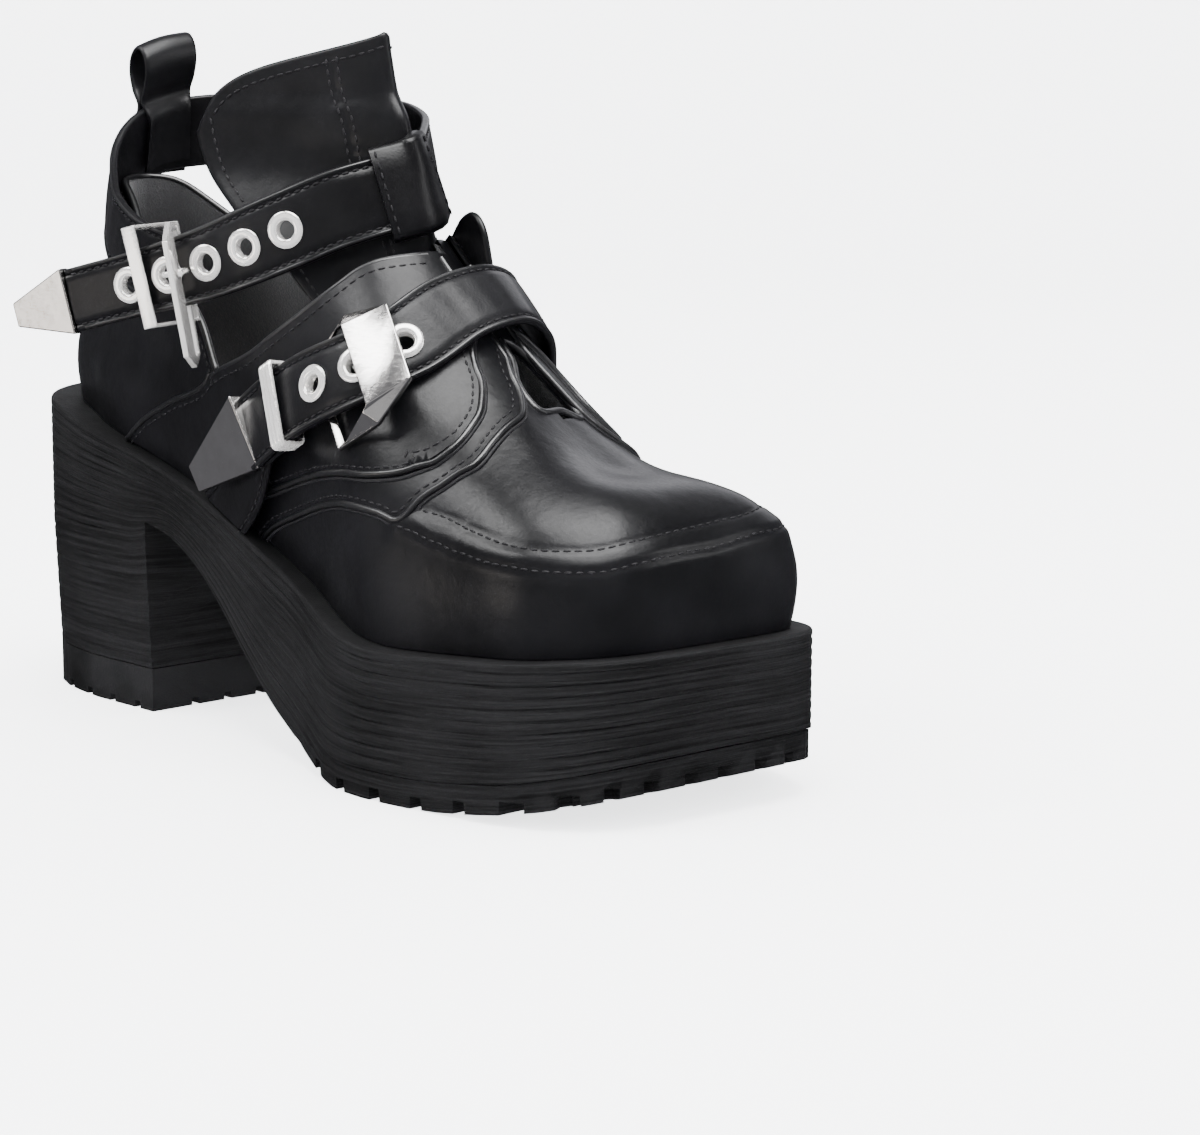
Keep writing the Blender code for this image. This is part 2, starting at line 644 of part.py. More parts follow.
def eyelet(name, frame, look):
    """A flanged ring; the frame lies on the strap's middle."""
    bore, outer, half = EYELET_BORE / 2, EYELET_OUTER / 2, STRAP_THICK / 2
    profile = [(bore, -half), (bore + 0.45, -half), (bore + 0.45, half + GAP * 1.5),
               (outer, half + GAP * 1.5), (outer - 0.8, half + 1.1), (bore, half + 0.9)]
    return turned(name, frame, profile, look)


def eyelet_holes(frames, look):
    """Round cutters for the eyelets' barrels."""
    cutters = []
    for frame in frames:
        radius = EYELET_BORE / 2 + 0.45 + GAP
        sides = 12
        ring = [(radius * math.cos(2 * math.pi * k / sides), radius * math.sin(2 * math.pi * k / sides))
                for k in range(sides)]
        points = local(frame, [(a, b, n) for n in (-6, 6) for a, b in ring])
        faces = [list(range(sides)), list(range(2 * sides - 1, sides - 1, -1))]
        faces += [(i, i + sides, (i + 1) % sides + sides, (i + 1) % sides) for i in range(sides)]
        cutters.append(solid("hole", points, faces, look))
    return joined(cutters)


def buckle_frame(name, frame, drop, spread, look):
    """A faceted frame: a wide front plate, pointed ends and a thin hinge bar.

    The frame's origin is under the hinge bar, its first direction points to
    the plate, drop is how far the hinge bar lies below the plate and spread
    makes it taller.
    """
    mid = drop * 0.3
    bars = [(27, 11.4, 0), (13.8, 18.4 - spread / 2, mid), (-1.6, 13.7, drop)]
    hole = [(12.8, 12.5, 0), (10.8, 13.2, mid * 0.4), (0.8, 12.8, drop)]
    outer, inner = [[(a, b + spread, n) for a, b, n in side]
                    + [(a, -b - spread, n) for a, b, n in side[::-1]] for side in (bars, hole)]
    count = len(outer)
    points = local(frame, [(a, b, n + FRAME_THICK) for a, b, n in outer + inner])
    points += local(frame, outer + inner)
    faces = []
    for i in range(count):
        j = (i + 1) % count
        faces.append((i, j, count + j, count + i))
        faces.append((2 * count + i, 3 * count + i, 3 * count + j, 2 * count + j))
        faces.append((i, 2 * count + i, 2 * count + j, j))
        faces.append((count + i, count + j, 3 * count + j, 3 * count + i))
    return solid(name, points, faces, look, sharp_angle=12)


def rod(name, line, radius, look, sides=6):
    """A round bar along a few points."""
    line = np.array(line, float)
    along = unit(np.gradient(line, axis=0))
    side = unit(np.cross(along, [0.0, 0.0, 1.0]))
    top = np.cross(side, along)
    frames = [(p, a, t, s) for p, a, t, s in zip(line, along, top, side)]
    section = [(radius * math.sin(2 * math.pi * k / sides), radius * math.cos(2 * math.pi * k / sides))
               for k in range(sides)]
    return sweep(name, frames, section, look)


def prong(name, frame, spot, aside, start, end, look):
    """A bar from the hinge up through an eyelet and over the buckle's plate."""
    origin, out = spot[0] + frame[1] * aside, spot[3]
    line = local(frame, start) + [origin - out * 1.8, origin + out * 3.5] + local(frame, end)
    return rod(name, line, 0.85, look)


# ============================================================ pieces of strap
def leaning_path(rows, count):
    """A free strap: its face stands upright and leans by the table's angle."""
    line = spline(rows, count)
    along = unit(np.gradient(line[:, :3], axis=0))
    out = unit(np.cross([0, 0, 1], along))
    up = np.cross(along, out)
    lean = np.radians(line[:, 3:4])
    return Path(line[:, :3], out * np.cos(lean) + up * np.sin(lean))


def strap_section(thick=STRAP_THICK, width=STRAP_WIDTH):
    """A strap's section as (up, out): flat, with its long edges rolled."""
    half, t = width / 2, thick / 2
    return [(-half, -t * 0.5), (-half, t * 0.5), (-half + 1, t), (half - 1, t),
            (half, t * 0.5), (half, -t * 0.5), (half - 1, -t), (-half + 1, -t)]


def hoop(name, frame, low, high, half, wall, width, look):
    """A flat metal or leather loop: a rectangular ring round a strap."""
    outer = [(-half - wall, low - wall), (-half - wall, high + wall),
             (half + wall, high + wall), (half + wall, low - wall)]
    inner = [(-half, low), (-half, high), (half, high), (half, low)]
    points = []
    for a in (-width / 2, width / 2):
        points += local(frame, [(a, b, n) for b, n in outer + inner])
    faces = []
    for i in range(4):
        j = (i + 1) % 4
        faces += [(i, j, 4 + j, 4 + i), (8 + i, 12 + i, 12 + j, 8 + j)]
        faces += [(i, 8 + i, 8 + j, j), (4 + i, 4 + j, 12 + j, 12 + i)]
    return solid(name, points, faces, look, sharp_angle=20)


def strap_tip(name, frame, length, end_width, taper, look):
    """A faceted metal end: wide over the strap, narrow and thick at its end."""
    base, end = STRAP_WIDTH / 2 * taper + 0.5, end_width / 2
    points = local(frame, [
        (0, -base, -1.2), (0, -base, 2.0), (0, 0, 3.2), (0, base, 2.0), (0, base, -1.2),
        (length, -end, -1.2), (length, -end, 1.6), (length, 0, 2.4), (length, end, 1.6),
        (length, end, -1.2)])
    faces = [(0, 1, 2, 3, 4), (9, 8, 7, 6, 5)]
    faces += [(i, i + 5, (i + 1) % 5 + 5, (i + 1) % 5) for i in range(5)]
    return solid(name, points, faces, look, sharp_angle=8)


def turned_frame(origin, along, up):
    """A frame from two rough directions."""
    along = unit(np.array(along, float))
    out = unit(np.cross(np.array(up, float), along))
    return [np.array(origin, float), along, np.cross(along, out), out]


def ankle_strap_pieces(ground, leather, metal):
    path = resting(leaning_path(ANKLE_STRAP, 400), ground, STRAP_THICK / 2 + 0.2)
    total = path.run[-1]
    first = nearest_run(path, (132.5, -28.3, 147))
    front = nearest_run(path, (158.8, 0, 159.5))
    loop_runs = np.linspace(front - 8, front + 12, 9)
    beside = [front - 14, front - 11, front + 15, front + 18]
    back = nearest_run(path, (17, 10.5, 168))
    round_heel = np.linspace(back - 30, back + 20, 12)
    stations = np.sort(np.concatenate([np.linspace(0, total, 27), loop_runs, beside, round_heel]))
    widths = 1 - (1 - TAIL_TAPER) * smooth(first + 5, total - 15, stations)
    frames = [path.at(run) for run in stations]
    strap = sweep("ankle_strap", frames, strap_section(), leather, widths)
    spots = [path.at(first + k * EYELET_STEP) for k in range(5)]
    cut(strap, eyelet_holes(spots, leather))
    for k, spot in enumerate(spots):
        eyelet("ankle_eyelet_%d" % (k + 1), spot, metal)
    strap_tip("ankle_tip", tip_frame(path, total), 20, 7, TAIL_TAPER, metal)
    keeper = path.at(first + 3.62 * EYELET_STEP)
    keeper[0] = keeper[0] + keeper[2] * KEEPER_RISE
    hoop("ankle_keeper", keeper, -18.2, 2.9, 13.8, 0.9, 4.4, metal)
    frame = turned_frame(ANKLE_HINGE, (0.72, -0.67, 0.0), (-0.116, -0.124, 0.985))
    buckle_frame("ankle_buckle", frame, -0.6, 4.8, metal)
    prong("ankle_prong", frame, spots[3], 0.0, [(2.4, 4.6, -0.4)],
          [(11.3, 6.5, 3.2), (25, 6.6, 3.1)], metal)
    loop_section = [(-13.4, -1.2), (-12.6, 2.9), (12.6, 2.9), (13.4, -1.2), (12, -1.2), (11.6, 1.5),
                    (-11.6, 1.5), (-12, -1.2)]
    sweep("front_loop", [path.at(run) for run in loop_runs], loop_section, leather)
    heel_tab(path, back, leather)


def nearest_run(path, place):
    """Distance along the path of its point nearest to a place."""
    off = np.linalg.norm(path.centre - np.array(place), axis=1)
    return float(path.run[int(np.argmin(off))])


def tip_frame(path, total):
    """The frame of a strap's last stretch, moved just past the strap's end."""
    origin, along, up, out = path.at(total)
    return [origin + along * GAP, along, up, out]


def heel_tab(path, middle, look):
    """A leather tab folded over the strap, with a pull loop above it."""
    slope = math.tan(math.radians(8))
    slot, skin = STRAP_THICK / 2 + 4 * GAP, 1.3
    neck = -slope * 13

    def folded(b, n):
        return (b, n - slope * b)

    outline = [folded(-12, slot + skin), folded(9, slot + skin), (13.4, neck + 2.2),
               (21, neck + 5.2), (26.5, neck + 5.2), (30.5, neck + 2.5), (30.5, neck - 2.5),
               (26.5, neck - 5.2), (21, neck - 5.2), (13.4, neck - 2.2), folded(9, -slot - skin),
               folded(-8, -slot - skin), folded(-8, -slot), folded(12.5, -slot),
               folded(12.5, slot), folded(-12, slot)]
    hole = [(15.5, neck), (20.5, neck + 3.7), (25.5, neck + 4.0), (28.8, neck + 1.8),
            (28.8, neck - 1.8), (25.5, neck - 4.0), (20.5, neck - 3.7)]
    tab = loft("heel_tab", folded_rows(path, middle, TAB_HALF, outline), look)
    return cut(tab, loft("pull_hole", folded_rows(path, middle, TAB_HALF + 3, hole), look))


def folded_rows(path, middle, half, outline):
    """An outline carried along a path: curved with it low down, straight in the loop."""
    rows = []
    upward = np.array([0.0, 0.0, 1.0])
    centre, forward = path.at(middle)[:2]
    forward = unit(forward * [1, 1, 0])
    for reach in np.linspace(-half, half, 6):
        origin, along = path.at(middle + reach)[:2]
        along = unit(along * [1, 1, 0])
        straight = centre + forward * reach
        straight[2] = origin[2]
        row = []
        for b, n in outline:
            frame = [origin, along, upward, np.cross(upward, along)]
            if b > 12.6:
                frame = [straight, forward, upward, np.cross(upward, forward)]
            row += local(frame, [(0, b, n)])
        rows.append(row)
    return rows


def above_footbed(strap, look):
    """Trim the part of a strap that runs down into the sole."""
    xs = np.linspace(90, 150, 9)
    below = [(x, float(top_z(x)) + 2 * GAP) for x in xs] + [(150, 20), (90, 20)]
    return cut(strap, prism("footbed", below, -70, 70, look))


def instep_strap_pieces(ground, leather, metal):
    path = leaning_path(INSTEP_STRAP, 300)
    stacked = STRAP_THICK / 2 + BILLET_THICK + KEEPER_WALL + 5 * GAP
    start = nearest_run(path, BILLET_START)
    depth = STRAP_THICK / 2 + (stacked - STRAP_THICK / 2) * smooth(start - 24, start - 8, path.run)
    path = resting(path, ground, depth)
    total = path.run[-1]
    frames = [path.at(run) for run in np.linspace(0, total, 34)]
    strap = sweep("instep_strap", frames, strap_section(), leather)
    above_footbed(strap, leather)
    middle = nearest_run(path, (175.8, -38.2, 113))
    spots = [path.at(middle + k * INSTEP_EYELET_STEP) for k in (-1, 0, 1)]
    cut(strap, eyelet_holes(spots, leather))
    for k, spot in enumerate(spots):
        eyelet("instep_eyelet_%d" % (k + 1), spot, metal)
    strap_tip("instep_tip", tip_frame(path, total), 30, 8, 0.93, metal)
    keeper = path.at(nearest_run(path, (148.6, -42.6, 100.4)))
    low = STRAP_THICK / 2 + BILLET_THICK + 2 * GAP
    hoop("instep_keeper", keeper, -low, 2.6, 11.4, KEEPER_WALL, 5.4, metal)
    sunk = (STRAP_THICK + BILLET_THICK) / 2 + GAP
    under = [path.at(run) for run in np.linspace(start, total - 2, 8)]
    rows = [np.concatenate([frame[0] - frame[3] * sunk, frame[3]]) for frame in under]
    rows += [np.concatenate([place, under[-1][3]]) for place in BILLET_FOOT]
    line = spline(rows, 40)
    billet = Path(line[:, :3], line[:, 3:])
    frames = [billet.at(run) for run in np.linspace(0, billet.run[-1], 12)]
    section = strap_section(BILLET_THICK)
    above_footbed(sweep("instep_billet", frames, section, leather), leather)
    crown = path.at(middle - 7.3)
    along = -crown[1]
    base = crown[0] + crown[3] * (STRAP_THICK / 2 + 2.2) - crown[2] * BUCKLE_SAG
    frame = turned_frame(base - along * 19.9, along, BUCKLE_TILT * crown[3] - crown[2])
    hinge = path.at(middle + 12.4)
    below = hinge[0] - hinge[3] * (STRAP_THICK / 2 + GAP + 1.7)
    drop = float((below - base) @ crown[3]) - FRAME_THICK
    buckle_frame("instep_buckle", frame, drop, 1.6, metal)
    prong("instep_prong", frame, spots[1], -1.3, [(2.8, 1, drop + 1.3)],
          [(12.2, 1.2, 3.3), (25, 1.2, 3.1)], metal)


def main():
    """Remove what the scene holds, build every piece and set the origin."""
    for item in list(bpy.data.objects):
        bpy.data.objects.remove(item)
    leather = material("black_leather", (0.012, 0.012, 0.016), 0.32)
    lining = material("insole_fabric", (0.02, 0.02, 0.022), 0.8)
    rubber = material("charcoal_rubber", (0.016, 0.016, 0.018), 0.75)
    metal = material("polished_nickel", (0.78, 0.76, 0.72), 0.12, 1.0)
    sole_unit(rubber)
    heel_toplift(rubber)
    outsole(rubber)
    insole(lining)
    body = filled_upper(leather)
    ground = [tree_of(body)]
    upper(body, leather)
    flap = ankle_flap(leather)
    ankle_strap_pieces(ground + [tree_of(flap)], leather, metal)
    instep_strap_pieces(ground, leather, metal)
    for item in bpy.data.objects:
        item.data.transform(Matrix.Translation((-HEEL_MIDDLE * MM, 0, 0)))


main()
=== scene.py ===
# %% [markdown]
# # Dressing a cut-out ankle boot
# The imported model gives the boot's construction as plain solids. This lesson gives it its
# looks: leather panels with rolled edges, stitch rows, a layered rubber sole and nickel
# hardware. Shapes are worked out in millimetres, measured from the back of the heel, and
# one helper turns them into metres in the frame's own place.

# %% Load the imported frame
import bpy
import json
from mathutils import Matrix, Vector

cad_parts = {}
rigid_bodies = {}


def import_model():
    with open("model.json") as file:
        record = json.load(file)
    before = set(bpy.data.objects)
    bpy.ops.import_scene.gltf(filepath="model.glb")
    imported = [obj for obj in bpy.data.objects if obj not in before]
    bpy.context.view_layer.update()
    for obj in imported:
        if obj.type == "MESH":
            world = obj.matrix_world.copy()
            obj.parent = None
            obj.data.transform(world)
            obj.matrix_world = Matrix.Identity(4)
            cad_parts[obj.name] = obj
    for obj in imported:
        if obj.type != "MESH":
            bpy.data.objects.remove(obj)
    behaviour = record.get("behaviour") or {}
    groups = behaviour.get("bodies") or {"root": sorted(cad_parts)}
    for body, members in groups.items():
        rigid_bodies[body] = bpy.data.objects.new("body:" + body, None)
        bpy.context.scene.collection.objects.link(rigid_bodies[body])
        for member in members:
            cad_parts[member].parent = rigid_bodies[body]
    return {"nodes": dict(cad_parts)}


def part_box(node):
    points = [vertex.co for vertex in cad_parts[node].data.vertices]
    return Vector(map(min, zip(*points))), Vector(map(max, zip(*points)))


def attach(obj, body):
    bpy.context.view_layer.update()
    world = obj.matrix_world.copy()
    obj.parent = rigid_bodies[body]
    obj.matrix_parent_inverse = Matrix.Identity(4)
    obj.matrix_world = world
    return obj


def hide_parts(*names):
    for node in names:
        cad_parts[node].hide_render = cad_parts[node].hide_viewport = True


for item in list(bpy.data.objects):
    bpy.data.objects.remove(item)
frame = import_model()

import json
import math

import bmesh
import numpy as np
from mathutils import Matrix, Vector
from mathutils.bvhtree import BVHTree

MM = 0.001
QUARTER = math.pi / 2
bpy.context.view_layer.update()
nodes = frame["nodes"]
heel_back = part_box("sole_unit")[0].x


def linked(name, data):
    """A new object in the scene, at the origin."""
    made = bpy.data.objects.new(name, data)
    bpy.context.scene.collection.objects.link(made)
    return made


# %% [markdown]
# ## The camera
# The camera looks at the outer side and the toe from a little above the footbed, through
# a long lens. Its place and angles are given, and its three axes follow from the angles.

# %% Camera
CAMERA_SPOT = Vector((0.80693, -0.57104, 0.20583))
TURN, RISE, ROLL = (math.radians(v) for v in (46.98, 9.83, 0.25))
LENS, SENSOR = 95.27, 36.0    # focal length and sensor width in mm
back = Vector((math.sin(TURN) * math.cos(RISE), -math.cos(TURN) * math.cos(RISE),
               math.sin(RISE)))
level = Vector((math.cos(TURN), math.sin(TURN), 0.0))
right = level * math.cos(ROLL) + back.cross(level) * math.sin(ROLL)
lens = bpy.data.cameras.new("camera")
lens.lens, lens.sensor_width = LENS, SENSOR
camera = linked("camera", lens)
pose = Matrix((right, back.cross(right), back)).transposed().to_4x4()
pose.translation = CAMERA_SPOT
camera.matrix_world = pose
bpy.context.scene.camera = camera

# %% [markdown]
# ## Small tools for materials
# Every finish here is a small node graph on the shader that Blender calls Principled.
# A helper that adds a node and wires its inputs in one line keeps each recipe short.

# %% Node helpers
class Graph:
    """A node tree that is filled in one call per node."""

    def __init__(self, tree):
        self.tree = tree

    def wire(self, node, given):
        """Set inputs, by name or number, to values or to the outputs of other nodes."""
        for key, value in dict(given).items():
            if isinstance(value, bpy.types.NodeSocket):
                self.tree.links.new(value, node.inputs[key])
            else:
                node.inputs[key].default_value = value

    def add(self, kind, given=(), **settings):
        """A new node with its settings and inputs."""
        made = self.tree.nodes.new(kind)
        for key, value in settings.items():
            setattr(made, key, value)
        self.wire(made, given)
        return made

    def attribute(self, name, kind="FLOAT_VECTOR"):
        """The values that a mesh carries under a name."""
        given = {"Name": name}
        return self.add("GeometryNodeInputNamedAttribute", given, data_type=kind).outputs[0]

    def maths(self, operation, a, b=0.0):
        return self.add("ShaderNodeMath", {0: a, 1: b}, operation=operation).outputs[0]

    def ramp(self, value, low, high, start=0.0, end=1.0):
        """value from low..high mapped to start..end, eased at both ends."""
        given = {"Value": value, "From Min": low, "From Max": high, "To Min": start, "To Max": end}
        made = self.add("ShaderNodeMapRange", given, interpolation_type="SMOOTHSTEP")
        return made.outputs["Result"]

    def grain(self, where, scale, detail=2.0, stretch=(1, 1, 1), rough=0.5):
        """A noise pattern in object space; scale counts waves per metre."""
        spot = self.add("ShaderNodeMapping", {"Vector": where, "Scale": stretch}).outputs[0]
        given = {"Vector": spot, "Scale": scale, "Detail": detail, "Roughness": rough}
        return self.add("ShaderNodeTexNoise", given).outputs["Fac"]

    def tint(self, share, dark, light):
        """A colour between two, by share."""
        given = {0: share, 6: (*dark, 1), 7: (*light, 1)}
        return self.add("ShaderNodeMix", given, data_type="RGBA").outputs[2]

    def bump(self, height, depth, under=None):
        """A bump of the given depth in metres, over another bump if there is one."""
        given = {"Height": height, "Distance": depth, "Strength": 1.0}
        if under is not None:
            given["Normal"] = under
        return self.add("ShaderNodeBump", given).outputs["Normal"]


def finish(name, **constants):
    """A material with its graph, its shader and its object coordinates."""
    made = bpy.data.materials.new(name)
    made.use_nodes = True
    graph = Graph(made.node_tree)
    shader = made.node_tree.nodes["Principled BSDF"]
    graph.wire(shader, {key.replace("_", " "): value for key, value in constants.items()})
    return made, graph, shader, graph.add("ShaderNodeTexCoord").outputs["Object"]


# %% [markdown]
# ## Leather
# The upper is smooth corrected-grain leather: almost black with a cool violet cast, with
# fine pores that break its highlights up and soft waves where it was pulled over the
# last. Three sizes of noise give those, and each also moves the gloss a little.

# %% Leather
def leather_finish(name, dark, light, gloss, pore_depth, wave_depth, mirror=0.32):
    made, graph, shader, where = finish(name, Specular_IOR_Level=mirror)
    cloudy = graph.grain(where, 28, 3)
    waves = graph.grain(where, 150, 2)
    pores = graph.grain(where, 1100, 3, rough=0.65)
    cells = graph.add("ShaderNodeTexVoronoi", {"Vector": where, "Scale": 1500.0})
    shine = graph.ramp(cloudy, 0.3, 0.7, gloss, gloss + 0.07)
    normal = graph.bump(pores, pore_depth, under=graph.bump(waves, wave_depth))
    graph.wire(shader, {
        "Base Color": graph.tint(graph.ramp(cloudy, 0.3, 0.75), dark, light),
        "Roughness": graph.maths("ADD", shine, graph.ramp(pores, 0.35, 0.7, 0.0, 0.06)),
        "Normal": graph.bump(cells.outputs["Distance"], pore_depth * 0.5, under=normal)})
    return made


leather = leather_finish("black_leather", (0.0014, 0.0014, 0.0018), (0.0034, 0.0033, 0.0042),
                         0.28, 0.00002, 0.00016)
strap_leather = leather_finish("strap_leather", (0.0016, 0.0015, 0.0019),
                               (0.0036, 0.0035, 0.0044), 0.30, 0.00003, 0.00012)
edge_leather = leather_finish("edge_leather", (0.0018, 0.0018, 0.0022),
                              (0.0040, 0.0039, 0.0046), 0.28, 0.00004, 0.00008, mirror=0.9)

# %% [markdown]
# ## Thread, lining and rubber
# Thread is matt and a touch lighter than the leather. The lining is a short-napped
# fabric. The sole is moulded to look like stacked layers: its fine streaks follow the
# layers, so the pattern reads a "layer" attribute that the sole's mesh carries instead
# of the plain height.

# %% Thread and lining
def thread_finish():
    made, graph, shader, where = finish("black_thread", Specular_IOR_Level=0.25)
    twist = graph.grain(where, 2600, 2)
    graph.wire(shader, {
        "Base Color": graph.tint(twist, (0.0035, 0.0035, 0.004), (0.010, 0.0095, 0.011)),
        "Roughness": graph.ramp(twist, 0.3, 0.7, 0.42, 0.6),
        "Normal": graph.bump(twist, 0.00008)})
    return made


def lining_finish():
    made, graph, shader, where = finish("insole_fabric", Sheen_Weight=0.25, Sheen_Roughness=0.5)
    nap = graph.grain(where, 1400, 3, rough=0.7)
    worn = graph.maths("MULTIPLY", nap, graph.grain(where, 24, 2))
    graph.wire(shader, {
        "Base Color": graph.tint(worn, (0.008, 0.008, 0.009), (0.045, 0.043, 0.046)),
        "Roughness": graph.ramp(nap, 0.3, 0.7, 0.75, 0.95),
        "Normal": graph.bump(nap, 0.0003)})
    return made


thread, lining = thread_finish(), lining_finish()


# %% Rubber
def rubber_finish(name, layered):
    made, graph, shader, where = finish(name, Specular_IOR_Level=0.22)
    speck = graph.grain(where, 1700, 3, rough=0.7)
    cloudy = graph.grain(where, 22, 2)
    streak, streak_depth = graph.grain(where, 40, 3), 0.0002
    if layered:
        layer = graph.add("ShaderNodeAttribute", attribute_name="layer").outputs["Fac"]
        split = graph.add("ShaderNodeSeparateXYZ", {0: where}).outputs
        along = graph.add("ShaderNodeCombineXYZ", {
            "X": split["X"], "Y": split["Y"], "Z": graph.maths("MULTIPLY", layer, 0.045)})
        streak = graph.grain(along.outputs[0], 60, 4, stretch=(0.35, 0.35, 1.6), rough=0.7)
        streak_depth = 0.0007
    shade = graph.maths("ADD", graph.maths("MULTIPLY", streak, 0.7),
                        graph.maths("MULTIPLY", cloudy, 0.3))
    graph.wire(shader, {
        "Base Color": graph.tint(graph.ramp(shade, 0.35, 0.65), (0.0013, 0.0013, 0.0016),
                                 (0.0062, 0.0061, 0.0069)),
        "Roughness": graph.ramp(shade, 0.3, 0.7, 0.78, 0.62),
        "Normal": graph.bump(speck, 0.00012, under=graph.bump(streak, streak_depth))})
    return made


layered_rubber = rubber_finish("charcoal_rubber_layered", True)
rubber = rubber_finish("charcoal_rubber", False)

# %% [markdown]
# ## Nickel
# The buckles, strap ends and eyelets are cast and tumbled, then plated. Tumbling leaves
# faint ripples and fine rub marks, and the plating is a warm white metal. The plate on
# the instep and both strap ends are polished, and the other pieces are satin.

# %% Nickel
def nickel_finish(name, metallic, dark, light):
    made, graph, shader, where = finish(name, Metallic=metallic)
    ripple = graph.grain(where, 180, 2)
    rubs = graph.grain(where, 420, 4, stretch=(1, 1, 6), rough=0.7)
    graph.wire(shader, {
        "Base Color": graph.tint(ripple, dark, light),
        "Roughness": graph.ramp(rubs, 0.35, 0.75, 0.14, 0.26),
        "Normal": graph.bump(rubs, 0.00002, under=graph.bump(ripple, 0.00012))})
    return made


nickel = nickel_finish("polished_nickel", 1.0, (0.70, 0.68, 0.66), (0.86, 0.845, 0.83))
satin_nickel = nickel_finish("satin_nickel", 0.74, (0.80, 0.775, 0.75), (0.92, 0.905, 0.885))

# %% [markdown]
# ## Curves and meshes
# A shoemaker draws a shoe from a few measured stations. The same few numbers become
# smooth here: a curve that never overshoots its stations for heights and widths, and a
# spline for outlines and seams.

# %% Curve helpers
def curve(xs, ys):
    """A smooth curve through (xs, ys) that never overshoots them."""
    xs = np.array(xs, float)
    ys = np.array(ys, float)
    width = np.diff(xs)
    rise = np.diff(ys) / width
    slope = np.concatenate([rise[:1], np.zeros(len(xs) - 2), rise[-1:]])
    for i in range(1, len(xs) - 1):
        if rise[i - 1] * rise[i] > 0:
            before = 2 * width[i] + width[i - 1]
            after = width[i] + 2 * width[i - 1]
            slope[i] = (before + after) / (before / rise[i - 1] + after / rise[i])

    def at(x):
        x = np.clip(np.asarray(x, float), xs[0], xs[-1])
        i = np.clip(np.searchsorted(xs, x, side="right") - 1, 0, len(xs) - 2)
        t = (x - xs[i]) / width[i]
        return ((1 + 2 * t) * (1 - t) ** 2 * ys[i] + t * (1 - t) ** 2 * width[i] * slope[i]
                + t * t * (3 - 2 * t) * ys[i + 1] + t * t * (t - 1) * width[i] * slope[i + 1])
    return at


def ease(low, high, x):
    """0 at low, 1 at high, with an eased change between them."""
    t = np.clip((x - low) / (high - low), 0, 1)
    return t * t * (3 - 2 * t)


def unit(v):
    return v / np.maximum(np.linalg.norm(v, axis=-1, keepdims=True), 1e-9)


def ring_ways(ring):
    """Directions along a closed ring at each of its points."""
    return unit(np.roll(ring, -1, axis=0) - np.roll(ring, 1, axis=0))


def leftward(along):
    """Flat directions turned a quarter to the left."""
    return np.stack([-along[:, 1], along[:, 0]], axis=1)


def run_along(line):
    """The distance along a polyline at each of its points."""
    return np.concatenate([[0], np.cumsum(np.linalg.norm(np.diff(line, axis=0), axis=1))])


def at_run(line, run, place):
    """The values of a line, whose points lie at run, at one or more places along it."""
    return np.stack([np.interp(place, run, values) for values in line.T], axis=-1)


def even(line, count):
    """count points at equal steps along a polyline, ends included."""
    run = run_along(line)
    return at_run(line, run, np.linspace(0, run[-1], count))


def spline(points, count, closed=False):
    """count points along a centripetal Catmull-Rom curve through points."""
    p = np.array(points, float)
    if closed:
        p = np.vstack([p[-1:], p, p[:2]])
    else:
        p = np.vstack([2 * p[0] - p[1], p, 2 * p[-1] - p[-2]])
    knots = np.concatenate([[0], np.cumsum(np.sqrt(np.linalg.norm(np.diff(p, axis=0), axis=1)))])
    dense = []
    for i in range(1, len(p) - 2):
        k = knots[i - 1:i + 3]
        for t in np.linspace(k[1], k[2], 30, endpoint=False):
            a = [((k[j + 1] - t) * p[i - 1 + j] + (t - k[j]) * p[i + j]) / (k[j + 1] - k[j])
                 for j in range(3)]
            b = [((k[j + 2] - t) * a[j] + (t - k[j]) * a[j + 1]) / (k[j + 2] - k[j])
                 for j in range(2)]
            dense.append(((k[2] - t) * b[0] + (t - k[1]) * b[1]) / (k[2] - k[1]))
    dense.append(p[-2])
    return even(np.array(dense), count)


# %% Mesh helpers
def placed(points):
    """Millimetres from the back of the heel, as places in the frame in metres."""
    return np.asarray(points, float) * MM + np.array([heel_back, 0, 0])


def unplaced(places):
    """Places in the frame as millimetres from the back of the heel."""
    return (np.asarray(places, float) - [heel_back, 0, 0]) / MM


def measured(mesh):
    """A mesh's vertices in millimetres from the back of the heel."""
    co = np.zeros(len(mesh.vertices) * 3)
    mesh.vertices.foreach_get("co", co)
    return unplaced(co.reshape(-1, 3))


def merged(mesh, *steps):
    """Join the vertices of a mesh that lie on one spot and run more steps on it."""
    shell = bmesh.new()
    shell.from_mesh(mesh)
    bmesh.ops.remove_doubles(shell, verts=shell.verts, dist=0.002 * MM)
    for step in steps:
        step(shell)
    shell.to_mesh(mesh)
    shell.free()


def shape(name, points, faces, look, sharp=40):
    """A mesh object at the origin, merged, with its faces turned outward."""
    mesh = bpy.data.meshes.new(name)
    mesh.from_pydata([tuple(p) for p in placed(points)], [], faces)
    merged(mesh, lambda shell: bmesh.ops.recalc_face_normals(shell, faces=shell.faces))
    mesh.shade_smooth()
    mesh.set_sharp_from_angle(angle=math.radians(sharp))
    mesh.materials.append(look)
    return linked(name, mesh)


def settle(piece, sharp=None):
    """Make a piece's live modifiers part of its mesh."""
    bpy.context.view_layer.update()
    depsgraph = bpy.context.evaluated_depsgraph_get()
    done = bpy.data.meshes.new_from_object(piece.evaluated_get(depsgraph))
    piece.modifiers.clear()
    old = piece.data
    piece.data = done
    bpy.data.meshes.remove(old)
    if sharp:
        piece.data.set_sharp_from_angle(angle=math.radians(sharp))
    return piece


